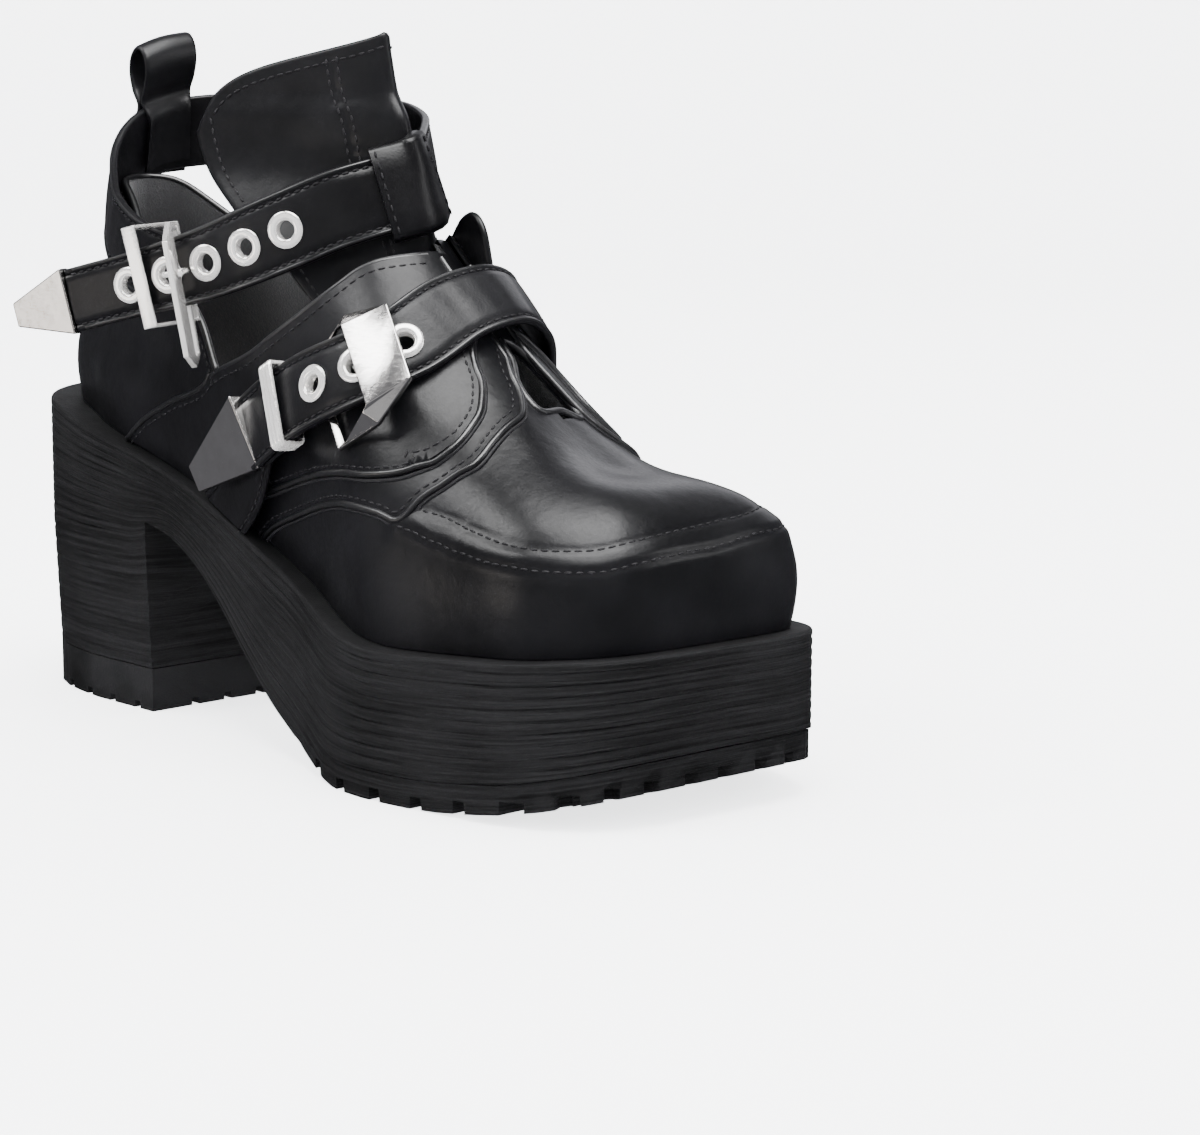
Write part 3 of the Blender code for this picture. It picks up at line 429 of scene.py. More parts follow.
def cut(target, tool, operation="DIFFERENCE", sharp=40):
    """Apply an exact Boolean and drop the tool."""
    step = target.modifiers.new("cut", "BOOLEAN")
    step.operation = operation
    step.solver = "EXACT"
    step.object = tool
    settle(target, sharp)
    bpy.data.objects.remove(tool)
    return target


def prism(name, outline, low, high, axis=1):
    """An outline in two coordinates carried along the third from low to high."""
    count = len(outline)
    others = [k for k in range(3) if k != axis]
    points = np.zeros((2 * count, 3))
    points[:count, others] = outline
    points[count:, others] = outline
    points[:count, axis] = low
    points[count:, axis] = high
    faces = caps(count, 0, count)
    faces += [(i, i + count, (i + 1) % count + count, (i + 1) % count) for i in range(count)]
    return shape(name, points, faces, leather)


def caps(count, first, last):
    """Faces that close a skin at its first and its last ring."""
    return [[first + k for k in range(count)], [last + k for k in range(count - 1, -1, -1)]]


def circle(radius, sides):
    """Corners of a regular polygon round the origin."""
    turns = [2 * math.pi * k / sides for k in range(sides)]
    return [(radius * math.cos(turn), radius * math.sin(turn)) for turn in turns]


def quads(table):
    """Faces between the neighbours in a table of point numbers."""
    corners = (table[:-1, :-1], table[:-1, 1:], table[1:, 1:], table[1:, :-1])
    return np.stack(corners, axis=-1).reshape(-1, 4).tolist()


def ringed(table):
    """A table of point numbers whose rows go once round."""
    return np.hstack([table, table[:, :1]])


def skin(rows, count, start=0):
    """Faces between equal rings of points."""
    return quads(ringed(start + np.arange(rows * count).reshape(rows, count)))


def grid_normal(grid):
    """The direction away from a grid of points at each of them."""
    return unit(np.cross(np.gradient(grid, axis=1), np.gradient(grid, axis=0)))


def grid_tree(grid):
    """A search tree over rings of points."""
    return BVHTree.FromPolygons([tuple(p) for p in grid.reshape(-1, 3)], skin(*grid.shape[:2]))


def tree_of(item):
    """A search tree over an object's faces, in millimetres from the back of the heel."""
    mesh = item.data
    mesh.calc_loop_triangles()
    corners = np.zeros(len(mesh.loop_triangles) * 3, int)
    mesh.loop_triangles.foreach_get("vertices", corners)
    return BVHTree.FromPolygons([tuple(p) for p in measured(mesh)],
                                [tuple(t) for t in corners.reshape(-1, 3)])


def hits(tree, starts, ways, lift=0.0, keep=lambda spot, normal: True):
    """Rays shot from many starts: the places they hit, lifted, and the outward directions."""
    spots, outs = [], []
    for start, way in zip(starts, np.broadcast_to(np.array(ways, float), np.shape(starts))):
        spot, normal, _, _ = tree.ray_cast(Vector(start), Vector(way))
        if spot is not None and keep(spot, normal):
            spots.append(np.array(spot) + np.array(normal) * lift)
            outs.append(np.array(normal))
    return np.array(spots), np.array(outs)


def dressed(piece, slot, *replaced):
    """Ride on the boot's one body and stand for CAD nodes; the slot is not used."""
    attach(piece, "root")
    if replaced:
        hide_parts(*replaced)
    print("%-22s %7d faces" % (piece.name, len(piece.data.polygons)))
    return piece


# %% [markdown]
# ## Geometry Nodes for what repeats
# Stitches, rolled edges, eyelets and the sole's ribs repeat along a path or a surface,
# so each gets a node tree with named sizes. A path is a mesh line whose points carry an
# "out" attribute, the direction away from the leather, and the trees turn with it.

# %% Tree helpers
def new_tree(name, inputs):
    """An empty geometry tree with a geometry input and output and named inputs."""
    tree = bpy.data.node_groups.new(name, "GeometryNodeTree")
    tree.interface.new_socket("Geometry", in_out="INPUT", socket_type="NodeSocketGeometry")
    for label, kind in inputs:
        tree.interface.new_socket(label, in_out="INPUT", socket_type="NodeSocket" + kind)
    tree.interface.new_socket("Geometry", in_out="OUTPUT", socket_type="NodeSocketGeometry")
    graph = Graph(tree)
    return graph, graph.add("NodeGroupInput").outputs


def close_tree(graph, geometry, look):
    """Realize the instances, set the material and end the tree."""
    whole = graph.add("GeometryNodeRealizeInstances", {"Geometry": geometry})
    smooth = graph.add("GeometryNodeSetShadeSmooth", {"Geometry": whole.outputs[0]})
    painted = graph.add("GeometryNodeSetMaterial",
                        {"Geometry": smooth.outputs[0], "Material": look})
    graph.add("NodeGroupOutput", {"Geometry": painted.outputs[0]})
    return graph.tree


def grown(base, tree, **values):
    """Run a tree on an object and keep the result as a plain mesh."""
    step = base.modifiers.new("grow", "NODES")
    step.node_group = tree
    for socket in tree.interface.items_tree:
        key = socket.name.replace(" ", "_")
        if socket.in_out == "INPUT" and key in values:
            step[socket.identifier] = values[key]
    return settle(base)


def mark(mesh, name, values):
    """Store one number or one direction a point on a mesh."""
    values = np.array(values, float)
    kind, field = (("FLOAT", "value"), ("FLOAT_VECTOR", "vector"))[values.ndim - 1]
    mesh.attributes.new(name, kind, "POINT").data.foreach_set(field, values.ravel())


def paths(name, lines):
    """One object from several lines, each a pair of points and outward directions."""
    points, edges, outs = [], [], []
    for line, out in lines:
        edges += [(len(points) + i, len(points) + i + 1) for i in range(len(line) - 1)]
        points += [tuple(p) for p in placed(line)]
        outs += [tuple(v) for v in unit(np.asarray(out, float))]
    mesh = bpy.data.meshes.new(name)
    mesh.from_pydata(points, edges, [])
    mark(mesh, "out", outs)
    return linked(name, mesh)


def facing(graph, along):
    """A rotation whose X follows a direction and whose Z follows the "out" attribute."""
    turn = graph.add("FunctionNodeAlignRotationToVector", {"Vector": along}, axis="X")
    return graph.add("FunctionNodeAlignRotationToVector",
                     {"Rotation": turn.outputs[0], "Vector": graph.attribute("out")},
                     axis="Z", pivot_axis="X").outputs[0]


def stepped(graph, given, step):
    """The given line as a curve with points at equal steps."""
    line = graph.add("GeometryNodeMeshToCurve", {"Mesh": given["Geometry"]}).outputs[0]
    return graph.add("GeometryNodeResampleCurve", {"Curve": line, "Length": given[step]},
                     mode="LENGTH").outputs[0]


# %% Stitches and rolled edges
def stitch_tree():
    graph, given = new_tree("stitch_row", [("Pitch", "Float"), ("Size", "Vector"),
                                           ("Thread", "Material")])
    bead = graph.add("GeometryNodeMeshUVSphere", {"Segments": 8, "Rings": 5, "Radius": 0.5})
    along = graph.add("GeometryNodeInputTangent").outputs[0]
    rows = graph.add("GeometryNodeInstanceOnPoints", {
        "Points": stepped(graph, given, "Pitch"), "Instance": bead.outputs["Mesh"],
        "Rotation": facing(graph, along), "Scale": given["Size"]})
    return close_tree(graph, rows.outputs[0], given["Thread"])


def piping_tree():
    graph, given = new_tree("rolled_edge", [("Radius", "Float"), ("Step", "Float"),
                                            ("Leather", "Material")])
    ring = graph.add("GeometryNodeCurvePrimitiveCircle",
                     {"Resolution": 10, "Radius": given["Radius"]}).outputs["Curve"]
    tube = graph.add("GeometryNodeCurveToMesh", {
        "Curve": stepped(graph, given, "Step"), "Profile Curve": ring, "Fill Caps": True})
    return close_tree(graph, tube.outputs[0], given["Leather"])


STITCHES, PIPING = stitch_tree(), piping_tree()
STITCH_PITCH, STITCH_SIZE = 2.9 * MM, (2.2 * MM, 0.7 * MM, 0.55 * MM)
PIPING_STEP = 1.2 * MM


def stitched(name, lines):
    """Rows of thread stitches along lines."""
    rows = grown(paths(name, lines), STITCHES, Pitch=STITCH_PITCH, Size=STITCH_SIZE, Thread=thread)
    return dressed(rows, "black_leather")


def piped(name, lines, radius, look=edge_leather):
    """Rolled leather edges along lines."""
    rolls = grown(paths(name, lines), PIPING, Radius=radius * MM, Step=PIPING_STEP, Leather=look)
    return dressed(rolls, "black_leather")


# %% [markdown]
# ## The sole
# The platform, arch and block heel are one moulded block. Its edge seen from above is a
# closed spline, its top follows the footbed and its side is cut into layers. The block
# is built with many rows and a "layer" number on each, a node tree presses the grooves
# between the layers into it, and a prism then takes the space under the arch away.

# %% Sole sizes
SOLE_EDGE = (
    # x, y from the back of the heel by the outer side to the toe and back
    (0, 0), (8, -26), (32, -34.5), (70, -35.5), (110, -38.5), (150, -43),
    (187, -54.5), (222, -51.5), (250, -45.5), (268, -29),
    (274, 3), (272.8, 37), (254, 49.5), (222, 52), (187, 49),
    (150, 40), (110, 34), (70, 35.5), (32, 34.5), (8, 24),
)
top_z = curve((0, 40, 80, 110, 140, 170, 200, 235, 274),
              (92, 83.5, 74.5, 66, 55, 46, 41, 42.5, 45.5))
arch_z = curve((70, 84, 98, 112, 126, 140, 152, 164), (58, 55, 48.5, 38, 25, 14, 8, 3.5))
spring_z = curve((164, 180, 212, 240, 258, 274), (3.5, 0, 0, 2.6, 6.0, 10.5))
HEEL_LENGTH, TOPLIFT, OUTSOLE, GAP = 70.0, 13.0, 8.0, 0.3
LEDGE, HEEL_LEDGE = 6.0, 3.7
HEEL_LAYERS, PLATFORM_LAYERS, SPLIT_HEIGHT = 8, 12, 52.0
HEEL_TAPER = 1.6


def edge_line(count):
    """The sole's edge as a closed ring of points."""
    return spline(SOLE_EDGE, count + 1, closed=True)[:-1]


def inset(ring, distance):
    """A closed ring moved inward, by one distance or one a point."""
    return ring + leftward(ring_ways(ring)) * np.asarray(distance)[..., None]


def feather(ring, more=0.0):
    """The sole's edge moved in to the feather line, where the upper stands, and more."""
    return inset(ring, LEDGE + more + HEEL_LEDGE * ease(60, 20, ring[:, 0]))


def strips(count, start):
    """Faces that close a ring of count points with strips from side to side."""
    faces = []
    for i in range(count // 2):
        corners = (i, i + 1, count - i - 1, (count - i) % count)
        faces.append([start + k for k in dict.fromkeys(corners)])
    return faces


# %% Rib tree
def rib_tree():
    """Press grooves into a surface wherever its "layer" number passes a whole number."""
    graph, given = new_tree("layer_ribs", [("Groove Depth", "Float"), ("Groove Share", "Float"),
                                           ("Wander", "Float"), ("Rubber", "Material")])
    layer, side = graph.attribute("layer", "FLOAT"), graph.attribute("side", "FLOAT")
    place = graph.add("GeometryNodeInputPosition").outputs[0]
    flat = graph.add("ShaderNodeVectorMath", {0: place, 1: (1.0, 1.0, 0.25)}, operation="MULTIPLY")
    drift, fade = (graph.add("ShaderNodeTexNoise", {
        "Vector": flat.outputs[0], "W": shift, "Scale": scale, "Detail": detail},
        noise_dimensions="4D").outputs[0] for shift, scale, detail in ((3, 26, 2), (8, 60, 1)))
    sway = graph.maths("MULTIPLY", graph.maths("SUBTRACT", drift, 0.5), given["Wander"])
    share = graph.maths("FRACT", graph.maths("ADD", layer, sway))
    off = graph.maths("ABSOLUTE", graph.maths("SUBTRACT", share, 0.5))
    groove = graph.ramp(off, 0.0, given["Groove Share"], 1.0, 0.0)
    depth = graph.maths("MULTIPLY", groove, graph.ramp(fade, 0.3, 0.7, 0.35, 1.3))
    depth = graph.maths("MULTIPLY", graph.maths("MULTIPLY", depth, given["Groove Depth"]), side)
    normal = graph.add("GeometryNodeInputNormal").outputs[0]
    inward = graph.maths("MULTIPLY", depth, -1.0)
    push = graph.add("ShaderNodeVectorMath", {0: normal, "Scale": inward}, operation="SCALE")
    moved = graph.add("GeometryNodeSetPosition", {"Geometry": given["Geometry"],
                                                  "Offset": push.outputs[0]})
    return close_tree(graph, moved.outputs[0], given["Rubber"])


# %% Sole block
SIDE_POINTS, ROWS_PER_LAYER = 420, 6
ARCH_END, BELOW_FROM, BELOW = 164, 120, -20.0
RIM = ((1.2, 0.0), (0.7, 0.06), (0.3, 0.28), (0.08, 0.6), (0.0, 1.0))     # drop, inset
GROOVE_DEPTH, GROOVE_SHARE, GROOVE_WANDER = 0.42 * MM, 0.2, 0.6


def layer_starts(x):
    """Heights at plan positions x where the heel's and the platform's layers start.

    In front of the heel the block starts below the ground, and the arch is cut later.
    """
    share = ease(88, 60, x)
    low = np.where(x < ARCH_END, arch_z(np.maximum(x, HEEL_LENGTH)), spring_z(x))
    floor = np.where(x > BELOW_FROM, BELOW, TOPLIFT + GAP)
    return floor, low * (1 - share) + SPLIT_HEIGHT * share


def sole_levels(x):
    """Heights, insets, layer numbers and groove shares of the rows at plan positions x."""
    floor, middle = layer_starts(x)
    top = top_z(x)
    rows = []
    for low, high, taper, first, layers in (
            (floor, middle, HEEL_TAPER, 0, HEEL_LAYERS),
            (middle, top - RIM[0][0], 0.0, HEEL_LAYERS, PLATFORM_LAYERS)):
        for t in np.arange(layers * ROWS_PER_LAYER) / (layers * ROWS_PER_LAYER):
            rows.append((low + (high - low) * t, taper * (1 - t), first + t * layers, 1.0))
    whole = HEEL_LAYERS + PLATFORM_LAYERS
    return rows + [(top - drop, step, whole, 0.0) for drop, step in RIM]


def sole_block():
    ring = edge_line(SIDE_POINTS)
    levels = sole_levels(ring[:, 0])
    points = np.vstack([np.column_stack([inset(ring, step), height])
                        for height, step, _, _ in levels])
    faces = strips(SIDE_POINTS, 0) + strips(SIDE_POINTS, (len(levels) - 1) * SIDE_POINTS)
    block = shape("sole_block", points, faces + skin(len(levels), SIDE_POINTS), layered_rubber)
    mark(block.data, "layer", np.repeat([row[2] for row in levels], SIDE_POINTS))
    mark(block.data, "side", np.repeat([row[3] for row in levels], SIDE_POINTS))
    grown(block, rib_tree(), Groove_Depth=GROOVE_DEPTH, Groove_Share=GROOVE_SHARE,
          Wander=GROOVE_WANDER, Rubber=layered_rubber)
    space = [(HEEL_LENGTH, -40), (HEEL_LENGTH, 58)]
    space += [(v, float(arch_z(v))) for v in np.linspace(77, 152, 40)]
    space += [(v, float(spring_z(v)) + OUTSOLE + GAP) for v in np.linspace(212, 274, 24)]
    space += [(304, 24), (304, -40)]
    return cut(block, prism("arch_space", space, -90, 90), sharp=35)


def number_layers(piece):
    """Write the layer number again on every point, the cut ones too."""
    x, _, z = measured(piece.data).T
    floor, middle = layer_starts(x)
    upper = HEEL_LAYERS + PLATFORM_LAYERS * (z - middle) / np.maximum(top_z(x) - middle, 1)
    lower = HEEL_LAYERS * (z - floor) / np.maximum(middle - floor, 1)
    if "layer" in piece.data.attributes:
        piece.data.attributes.remove(piece.data.attributes["layer"])
    mark(piece.data, "layer", np.where(z > middle, upper, lower))
    return piece


dressed(number_layers(sole_block()), "charcoal_rubber", "sole_unit")

# %% [markdown]
# ## The last
# A shoe is built over a last, a solid foot form. Each of its cross-sections is a rounded
# box that starts at the feather line, where upper meets sole, and closes at the ridge.
# The whole upper comes from this one function, so every panel lies snugly on the next.

# %% Last
WALL, INSTEP_LEAN = 2.0, 3.0
ridge_z = curve((26, 60, 95, 125, 150, 175, 200, 222, 236),
                (215, 215, 207, 183, 154, 130, 108, 91, 81))
RIDGE_BACK, RIDGE_FRONT = 30.0, 230.0
FULL_X, FULL_N = (0, 60, 110, 150, 200, 235, 268), (3.2, 3.2, 2.6, 2.1, 2.1, 2.6, 3.2)
NARROW_X, NARROW = (6, 30, 60, 100, 130), (0.46, 0.36, 0.24, 0.12, 0.0)
ANKLE_RISE, BACK_LEAN, HEEL_BULGE, FRONT_BULGE, BULGE_TOP = 64.0, 9.0, 2.0, 2.6, 45
RIDGE_SOFT = 14.0             # how gently the ridge's two ends gather the sections


def last_form(offset, stations, rows):
    """The last's surface as rings from the feather line up to the ridge, and its normals."""
    line = feather(edge_line(1200))
    front = int(np.argmax(line[:, 0]))
    lateral = even(line[:front + 1], stations + 1)
    medial = even(np.vstack([line[front:], line[:1]])[::-1], stations + 1)
    base = np.vstack([lateral, medial[-2:0:-1]])
    partner = np.concatenate([np.arange(stations + 1), np.arange(stations - 1, 0, -1)])
    mid_x = ((lateral[:, 0] + medial[:, 0]) / 2)[partner]
    ridge_x = RIDGE_BACK + RIDGE_SOFT * np.logaddexp(0, (mid_x - RIDGE_BACK) / RIDGE_SOFT)
    ridge_x = RIDGE_FRONT - RIDGE_SOFT * np.logaddexp(0, (RIDGE_FRONT - ridge_x) / RIDGE_SOFT)
    x0, y0 = base[:, 0], base[:, 1]
    z0 = top_z(x0)
    full = curve(FULL_X, FULL_N)(x0)
    crowd = 1.0 + 0.8 * ease(130, 50, x0)
    spread = unit(np.column_stack([x0 - ridge_x, y0 - INSTEP_LEAN]))
    heel = ease(120, 40, x0)
    narrow = curve(NARROW_X, NARROW)(x0)
    form = []
    for r in range(rows + 1):
        angle = QUARTER * (r / rows) ** crowd
        inward = 1 - np.maximum(np.cos(angle), 0) ** (2 / full)
        upward = np.sin(angle) ** (2 / full)
        if r == rows:
            inward = upward = np.ones_like(x0)
        z = z0 + (ridge_z(ridge_x) - z0) * upward
        ankle = ease(8, ANKLE_RISE, z - z0)
        bulge = heel * HEEL_BULGE * np.sin(math.pi * np.clip((z - z0) / BULGE_TOP, 0, 1))
        bulge = (bulge + (1 - heel) * FRONT_BULGE * np.sin(math.pi * upward)) * (1 - inward)
        x = x0 + (ridge_x - x0) * inward + spread[:, 0] * bulge
        x = x + BACK_LEAN * ease(60, 10, x0) * ankle * (1 - inward)
        y = y0 + (INSTEP_LEAN - y0) * inward + spread[:, 1] * bulge
        y = y + (INSTEP_LEAN - y) * narrow * ankle
        form.append(np.column_stack([x, y, z]))
    form = np.array(form)
    around = np.roll(form, -1, axis=1) - np.roll(form, 1, axis=1)
    normal = unit(np.cross(around, np.gradient(form, axis=0)))
    opposite = (2 * stations - np.arange(2 * stations)) % (2 * stations)
    normal[-1] = unit(normal[-2] + normal[-2][opposite])
    normal[0, :, 2] = 0
    normal = unit(normal)
    return form + offset * normal, normal


def last_solid(name, offset, stations, rows, lift=0.0):
    """The last, grown by offset, as a closed solid standing on the footbed."""
    form = last_form(offset, stations, rows)[0]
    form[0, :, 2] += lift
    count = form.shape[1]
    return shape(name, form.reshape(-1, 3), strips(count, 0) + skin(rows + 1, count), leather)


# %% [markdown]
# ## The upper's wall
# The wall is one grid that follows the last. Each column of the grid climbs from the
# feather line and stops where it meets the collar, the side opening or the throat, so
# the openings have clean edges without any cutting. Creases and seam grooves are soft
# troughs pressed into the grid, each given by a few places on the leather.

# %% Openings
QUARTER_TOP = ((0, 156), (22, 156), (45, 143), (70, 129), (88, 118), (100, 104))
WING_TOP = ((100, 104), (104, 106), (123, 113), (141, 124), (152, 133), (159, 139.5), (172, 143))
MEDIAL_WING_TOP = ((100, 104), (104, 106), (123, 113), (141, 125), (150, 136), (157, 144),
                   (165, 150))
THROAT = np.array(((188, 2), (194.2, 0.6), (202, -4), (210, -3.7), (208.5, 5.4), (209.5, 12),
                   (205, 13.5), (198, 12), (190, 8)), float)


def collar_height(wing_top):
    """The top edge's height along the boot, from the back to past the throat."""
    back_part = spline(QUARTER_TOP, 60)
    front_part = spline(wing_top, 60)[1:]
    line = np.vstack([back_part, front_part, [(215, 185)], [(300, 260)]])
    return lambda x: np.interp(x, line[:, 0], line[:, 1])


LATERAL_TOP, MEDIAL_TOP = collar_height(WING_TOP), collar_height(MEDIAL_WING_TOP)


def in_throat(x, y):
    """Whether plan positions lie inside the throat's outline."""
    inside = np.zeros(len(x), bool)
    for (ax, ay), (bx, by) in zip(THROAT, np.roll(THROAT, -1, axis=0)):
        crosses = (ay > y) != (by > y)
        reach = ax + (y - ay) * (bx - ax) / (by - ay if by != ay else 1e-9)
        inside ^= crosses & (x < reach)
    return inside


def open_at(points, stations):
    """Whether each point, one per column, lies in an opening."""
    lateral = np.arange(len(points)) <= stations
    top = np.where(lateral, LATERAL_TOP(points[:, 0]), MEDIAL_TOP(points[:, 0]))
    return (points[:, 2] > top) | in_throat(points[:, 0], points[:, 1])


def sampled(form, rows):
    """A grid's points at fractional row numbers, which may differ from column to column."""
    low = np.minimum(rows.astype(int), form.shape[0] - 2)
    part, columns = (rows - low)[..., None], np.arange(form.shape[1])
    return form[low, columns] * (1 - part) + form[low + 1, columns] * part


def column_limits(form, stations):
    """The row, as a fraction, at which each column meets an opening, or the last row."""
    hit = np.array([open_at(row, stations) for row in form])
    hit[0] = False
    found, last = hit.any(axis=0), len(form) - 1.0
    high = np.where(found, hit.argmax(axis=0), last)
    low = high - 1
    for _ in range(12):
        middle = (low + high) / 2
        inside = open_at(sampled(form, middle), stations)
        high, low = np.where(inside, middle, high), np.where(inside, low, middle)
    return np.where(found, high, last), found


def trimmed(form, limit, rows):
    """The grid resampled so that each column ends at its limit."""
    return sampled(form, np.linspace(0, 1, rows)[:, None] * limit)


# %% Seams and creases
APRON_SEAM = ((203, -46.5, 73.5), (218.1, -45.8, 70.5), (232.7, -44.7, 68.2), (245.2, -42.1, 67.5),
              (254.8, -37, 66.9), (262, -29.9, 67.2), (266.2, -19.9, 69), (267.9, -7.3, 70.3),
              (268.7, 6.5, 71), (268.6, 17.6, 72.4), (262, 32, 70), (250, 40, 68),
              (232, 44.5, 67.5), (210, 45.5, 70))
PLUG_SEAM = ((206.5, -44.3, 78.5), (215.3, -43.4, 77.8), (226.6, -42.8, 75.1), (237.2, -41.8, 73.2),
             (246, -39.4, 72.5), (252.9, -35.3, 72.4), (260, -28.1, 73), (263.6, -17.4, 74.8),
             (264.6, -4.1, 76.1), (264.7, 10.4, 77.2), (264.5, 19.9, 77.8), (258, 31, 76),
             (246, 37, 75), (230, 41, 74), (208, 42, 77))
# Creases: start, end, half width and depth, or height for a negative depth. They fan out
# where the foot bends.
CREASES = (
    ((214, -14, 101), (222, -20, 96), 4.0, -0.4),
    ((214, 28, 98), (206, 44, 82), 4.0, 0.35), ((118, -37, 92), (104, -38, 82), 3.5, 0.5),
    ((22, -25, 118), (60, -33, 104), 5.0, 0.6), ((18, -22, 134), (48, -30, 124), 4.0, 0.5),
    ((22, 25, 118), (60, 33, 104), 5.0, 0.6), ((40, -33, 100), (80, -36, 88), 5.0, -0.5),
    ((66, -33, 118), (88, -35, 96), 4.0, 0.45), ((66, 33, 118), (88, 35, 96), 4.0, 0.4),
)


def distance_to_line(points, line):
    """Distance of every point to a polyline."""
    best = np.full(points.shape[:-1], 1e9)
    for a, b in zip(line[:-1], line[1:]):
        step = b - a
        share = np.clip(((points - a) @ step) / max(step @ step, 1e-9), 0, 1)
        best = np.minimum(best, np.linalg.norm(points - a - share[..., None] * step, axis=-1))
    return best


def bell(off, width):
    return np.exp(-(off / width) ** 2)


def trough(points, line, width, depth):
    """A soft trough along a line, with low ridges on both sides."""
    off = distance_to_line(points, np.array(line, float)) / width
    return -depth * bell(off, 1) + 0.35 * depth * bell(off - 2, 1)


# %% Upper wall
STATIONS, WALL_ROWS, FORM_ROWS, LINING_REACH = 300, 64, 200, 0.4
PLUG_MIDDLE, TOE_STRETCH = np.array([225.0, 0.0]), np.array([1, 0.95])
RIDGE_HEIGHT, RIDGE_WIDTH = 1.1, 4.5            # the padded ridge under the apron seam
APRON_DEPTH, APRON_WIDTH, PLUG_DEPTH, PLUG_WIDTH = 0.5, 0.9, 0.4, 0.8


def toe_polar(points):
    """Places round the toe as angle and reach from the middle of the plug."""
    away = points[:, :2] - PLUG_MIDDLE
    return np.arctan2(away[:, 1], away[:, 0]), np.linalg.norm(away * TOE_STRETCH, axis=1)


def on_leather(points, tree, lift=0.0):
    """Places moved to the nearest spot of a surface, with its outward directions."""
    found = [tree.find_nearest(Vector(p)) for p in points]
    outs = np.array([np.array(normal) for _, normal, _, _ in found])
    return np.array([np.array(spot) for spot, _, _, _ in found]) + outs * lift, outs


form, form_normal = last_form(0.0, STATIONS, FORM_ROWS)
limit, is_open = column_limits(form, STATIONS)
outer = trimmed(form, limit, WALL_ROWS)
outward = unit(trimmed(form_normal, limit, WALL_ROWS))
inner = trimmed(last_form(-WALL, STATIONS, FORM_ROWS)[0], limit, WALL_ROWS)
bare_tree = grid_tree(outer)
apron, plug = (on_leather(spline(seam, 160), bare_tree)[0] for seam in (APRON_SEAM, PLUG_SEAM))

near_toe = outer[..., 0] > 190
toe = outer[near_toe]
off_apron, off_plug = (distance_to_line(toe, seam[::3]) for seam in (apron, plug))
turn, reach = toe_polar(toe)
plug_turn, plug_reach = toe_polar(plug)
order = np.argsort(plug_turn)
beyond_plug = ease(-0.5, 0.5, reach - np.interp(turn, plug_turn[order], plug_reach[order]))
relief = np.zeros(outer.shape[:2])
relief[near_toe] = (RIDGE_HEIGHT * bell(off_apron, RIDGE_WIDTH)
                    - APRON_DEPTH * bell(off_apron, APRON_WIDTH)
                    - PLUG_DEPTH * bell(off_plug, PLUG_WIDTH)
                    + 0.35 * beyond_plug * np.exp(-off_plug / 6))
for start, end, width, depth in CREASES:
    relief += trough(outer, (start, end), width, depth)
relief *= ease(0, 6, np.arange(WALL_ROWS))[:, None]
outer = outer + outward * relief[..., None]


def wall_mesh():
    """The wall with leather outside and lining inside, closed along its foot and top."""
    count = 2 * STATIONS
    size = WALL_ROWS * count
    shells = np.stack([outer, inner])
    shells[:, 0, :, 2] += GAP
    faces = skin(WALL_ROWS, count)
    faces += [tuple(v + size for v in face[::-1]) for face in faces]
    for i in range(count):
        j = (i + 1) % count
        faces.append((i, i + size, j + size, j))
        if is_open[i] or is_open[j]:
            a, b = size - count + i, size - count + j
            faces.append((a, b, b + size, a + size))
    wall = shape("upper_wall", shells.reshape(-1, 3), faces, leather, sharp=50)
    wall.data.materials.append(lining)
    tree = grid_tree(inner)
    for face in wall.data.polygons:
        found = tree.find_nearest(Vector(unplaced(face.center)), LINING_REACH)[0]
        face.material_index = int(found is not None)
    return wall


def evened(wall):
    """The vamp inside the plug seam pulled even, as leather stretched over a last."""
    group = wall.vertex_groups.new(name="vamp")
    co = measured(wall.data)
    share = np.zeros(len(co))
    near = (co[:, 0] > 210) & (co[:, 2] > 72)
    share[near] = (ease(5, 12, distance_to_line(co[near], plug[::3]))
                   * ease(211, 220, co[near, 0]) * ease(72, 78, co[near, 2]))
    for k in np.nonzero(share > 0.01)[0]:
        group.add([int(k)], float(share[k]), "REPLACE")
    step = wall.modifiers.new("even", "SMOOTH")
    step.vertex_group, step.factor, step.iterations = group.name, 0.5, 80
    return settle(wall, 50)


wall_tree = tree_of(dressed(evened(wall_mesh()), "black_leather", "upper"))

# %% [markdown]
# ## The wings
# Two panels lie over each side of the instep, one on the other, with swept front edges.
# Each is the grown last inside a side outline, hollowed to a thin shell. Their edges are
# turned under and stitched, so a rolled edge and a stitch row follow every outline.

# %% Wings
WING_SEAM = ((60, 50), (56, 81), (65, 87), (80.5, 94), (99, 101.5), (102, 112))
OUTER_WING_EDGE = ((104, 50), (108, 66), (116.5, 69), (138.5, 75.8), (156, 81), (176, 84.6),
                   (189, 85.4), (198.5, 86.8), (203, 88.6))
INNER_WING_EDGE = ((120, 44), (125, 57), (131.5, 63), (147, 69), (166, 74.6), (180.8, 76.9),
                   (193.9, 76.3), (201.9, 75.0), (207.1, 81.3), (211.5, 84.9), (214.5, 88.2))
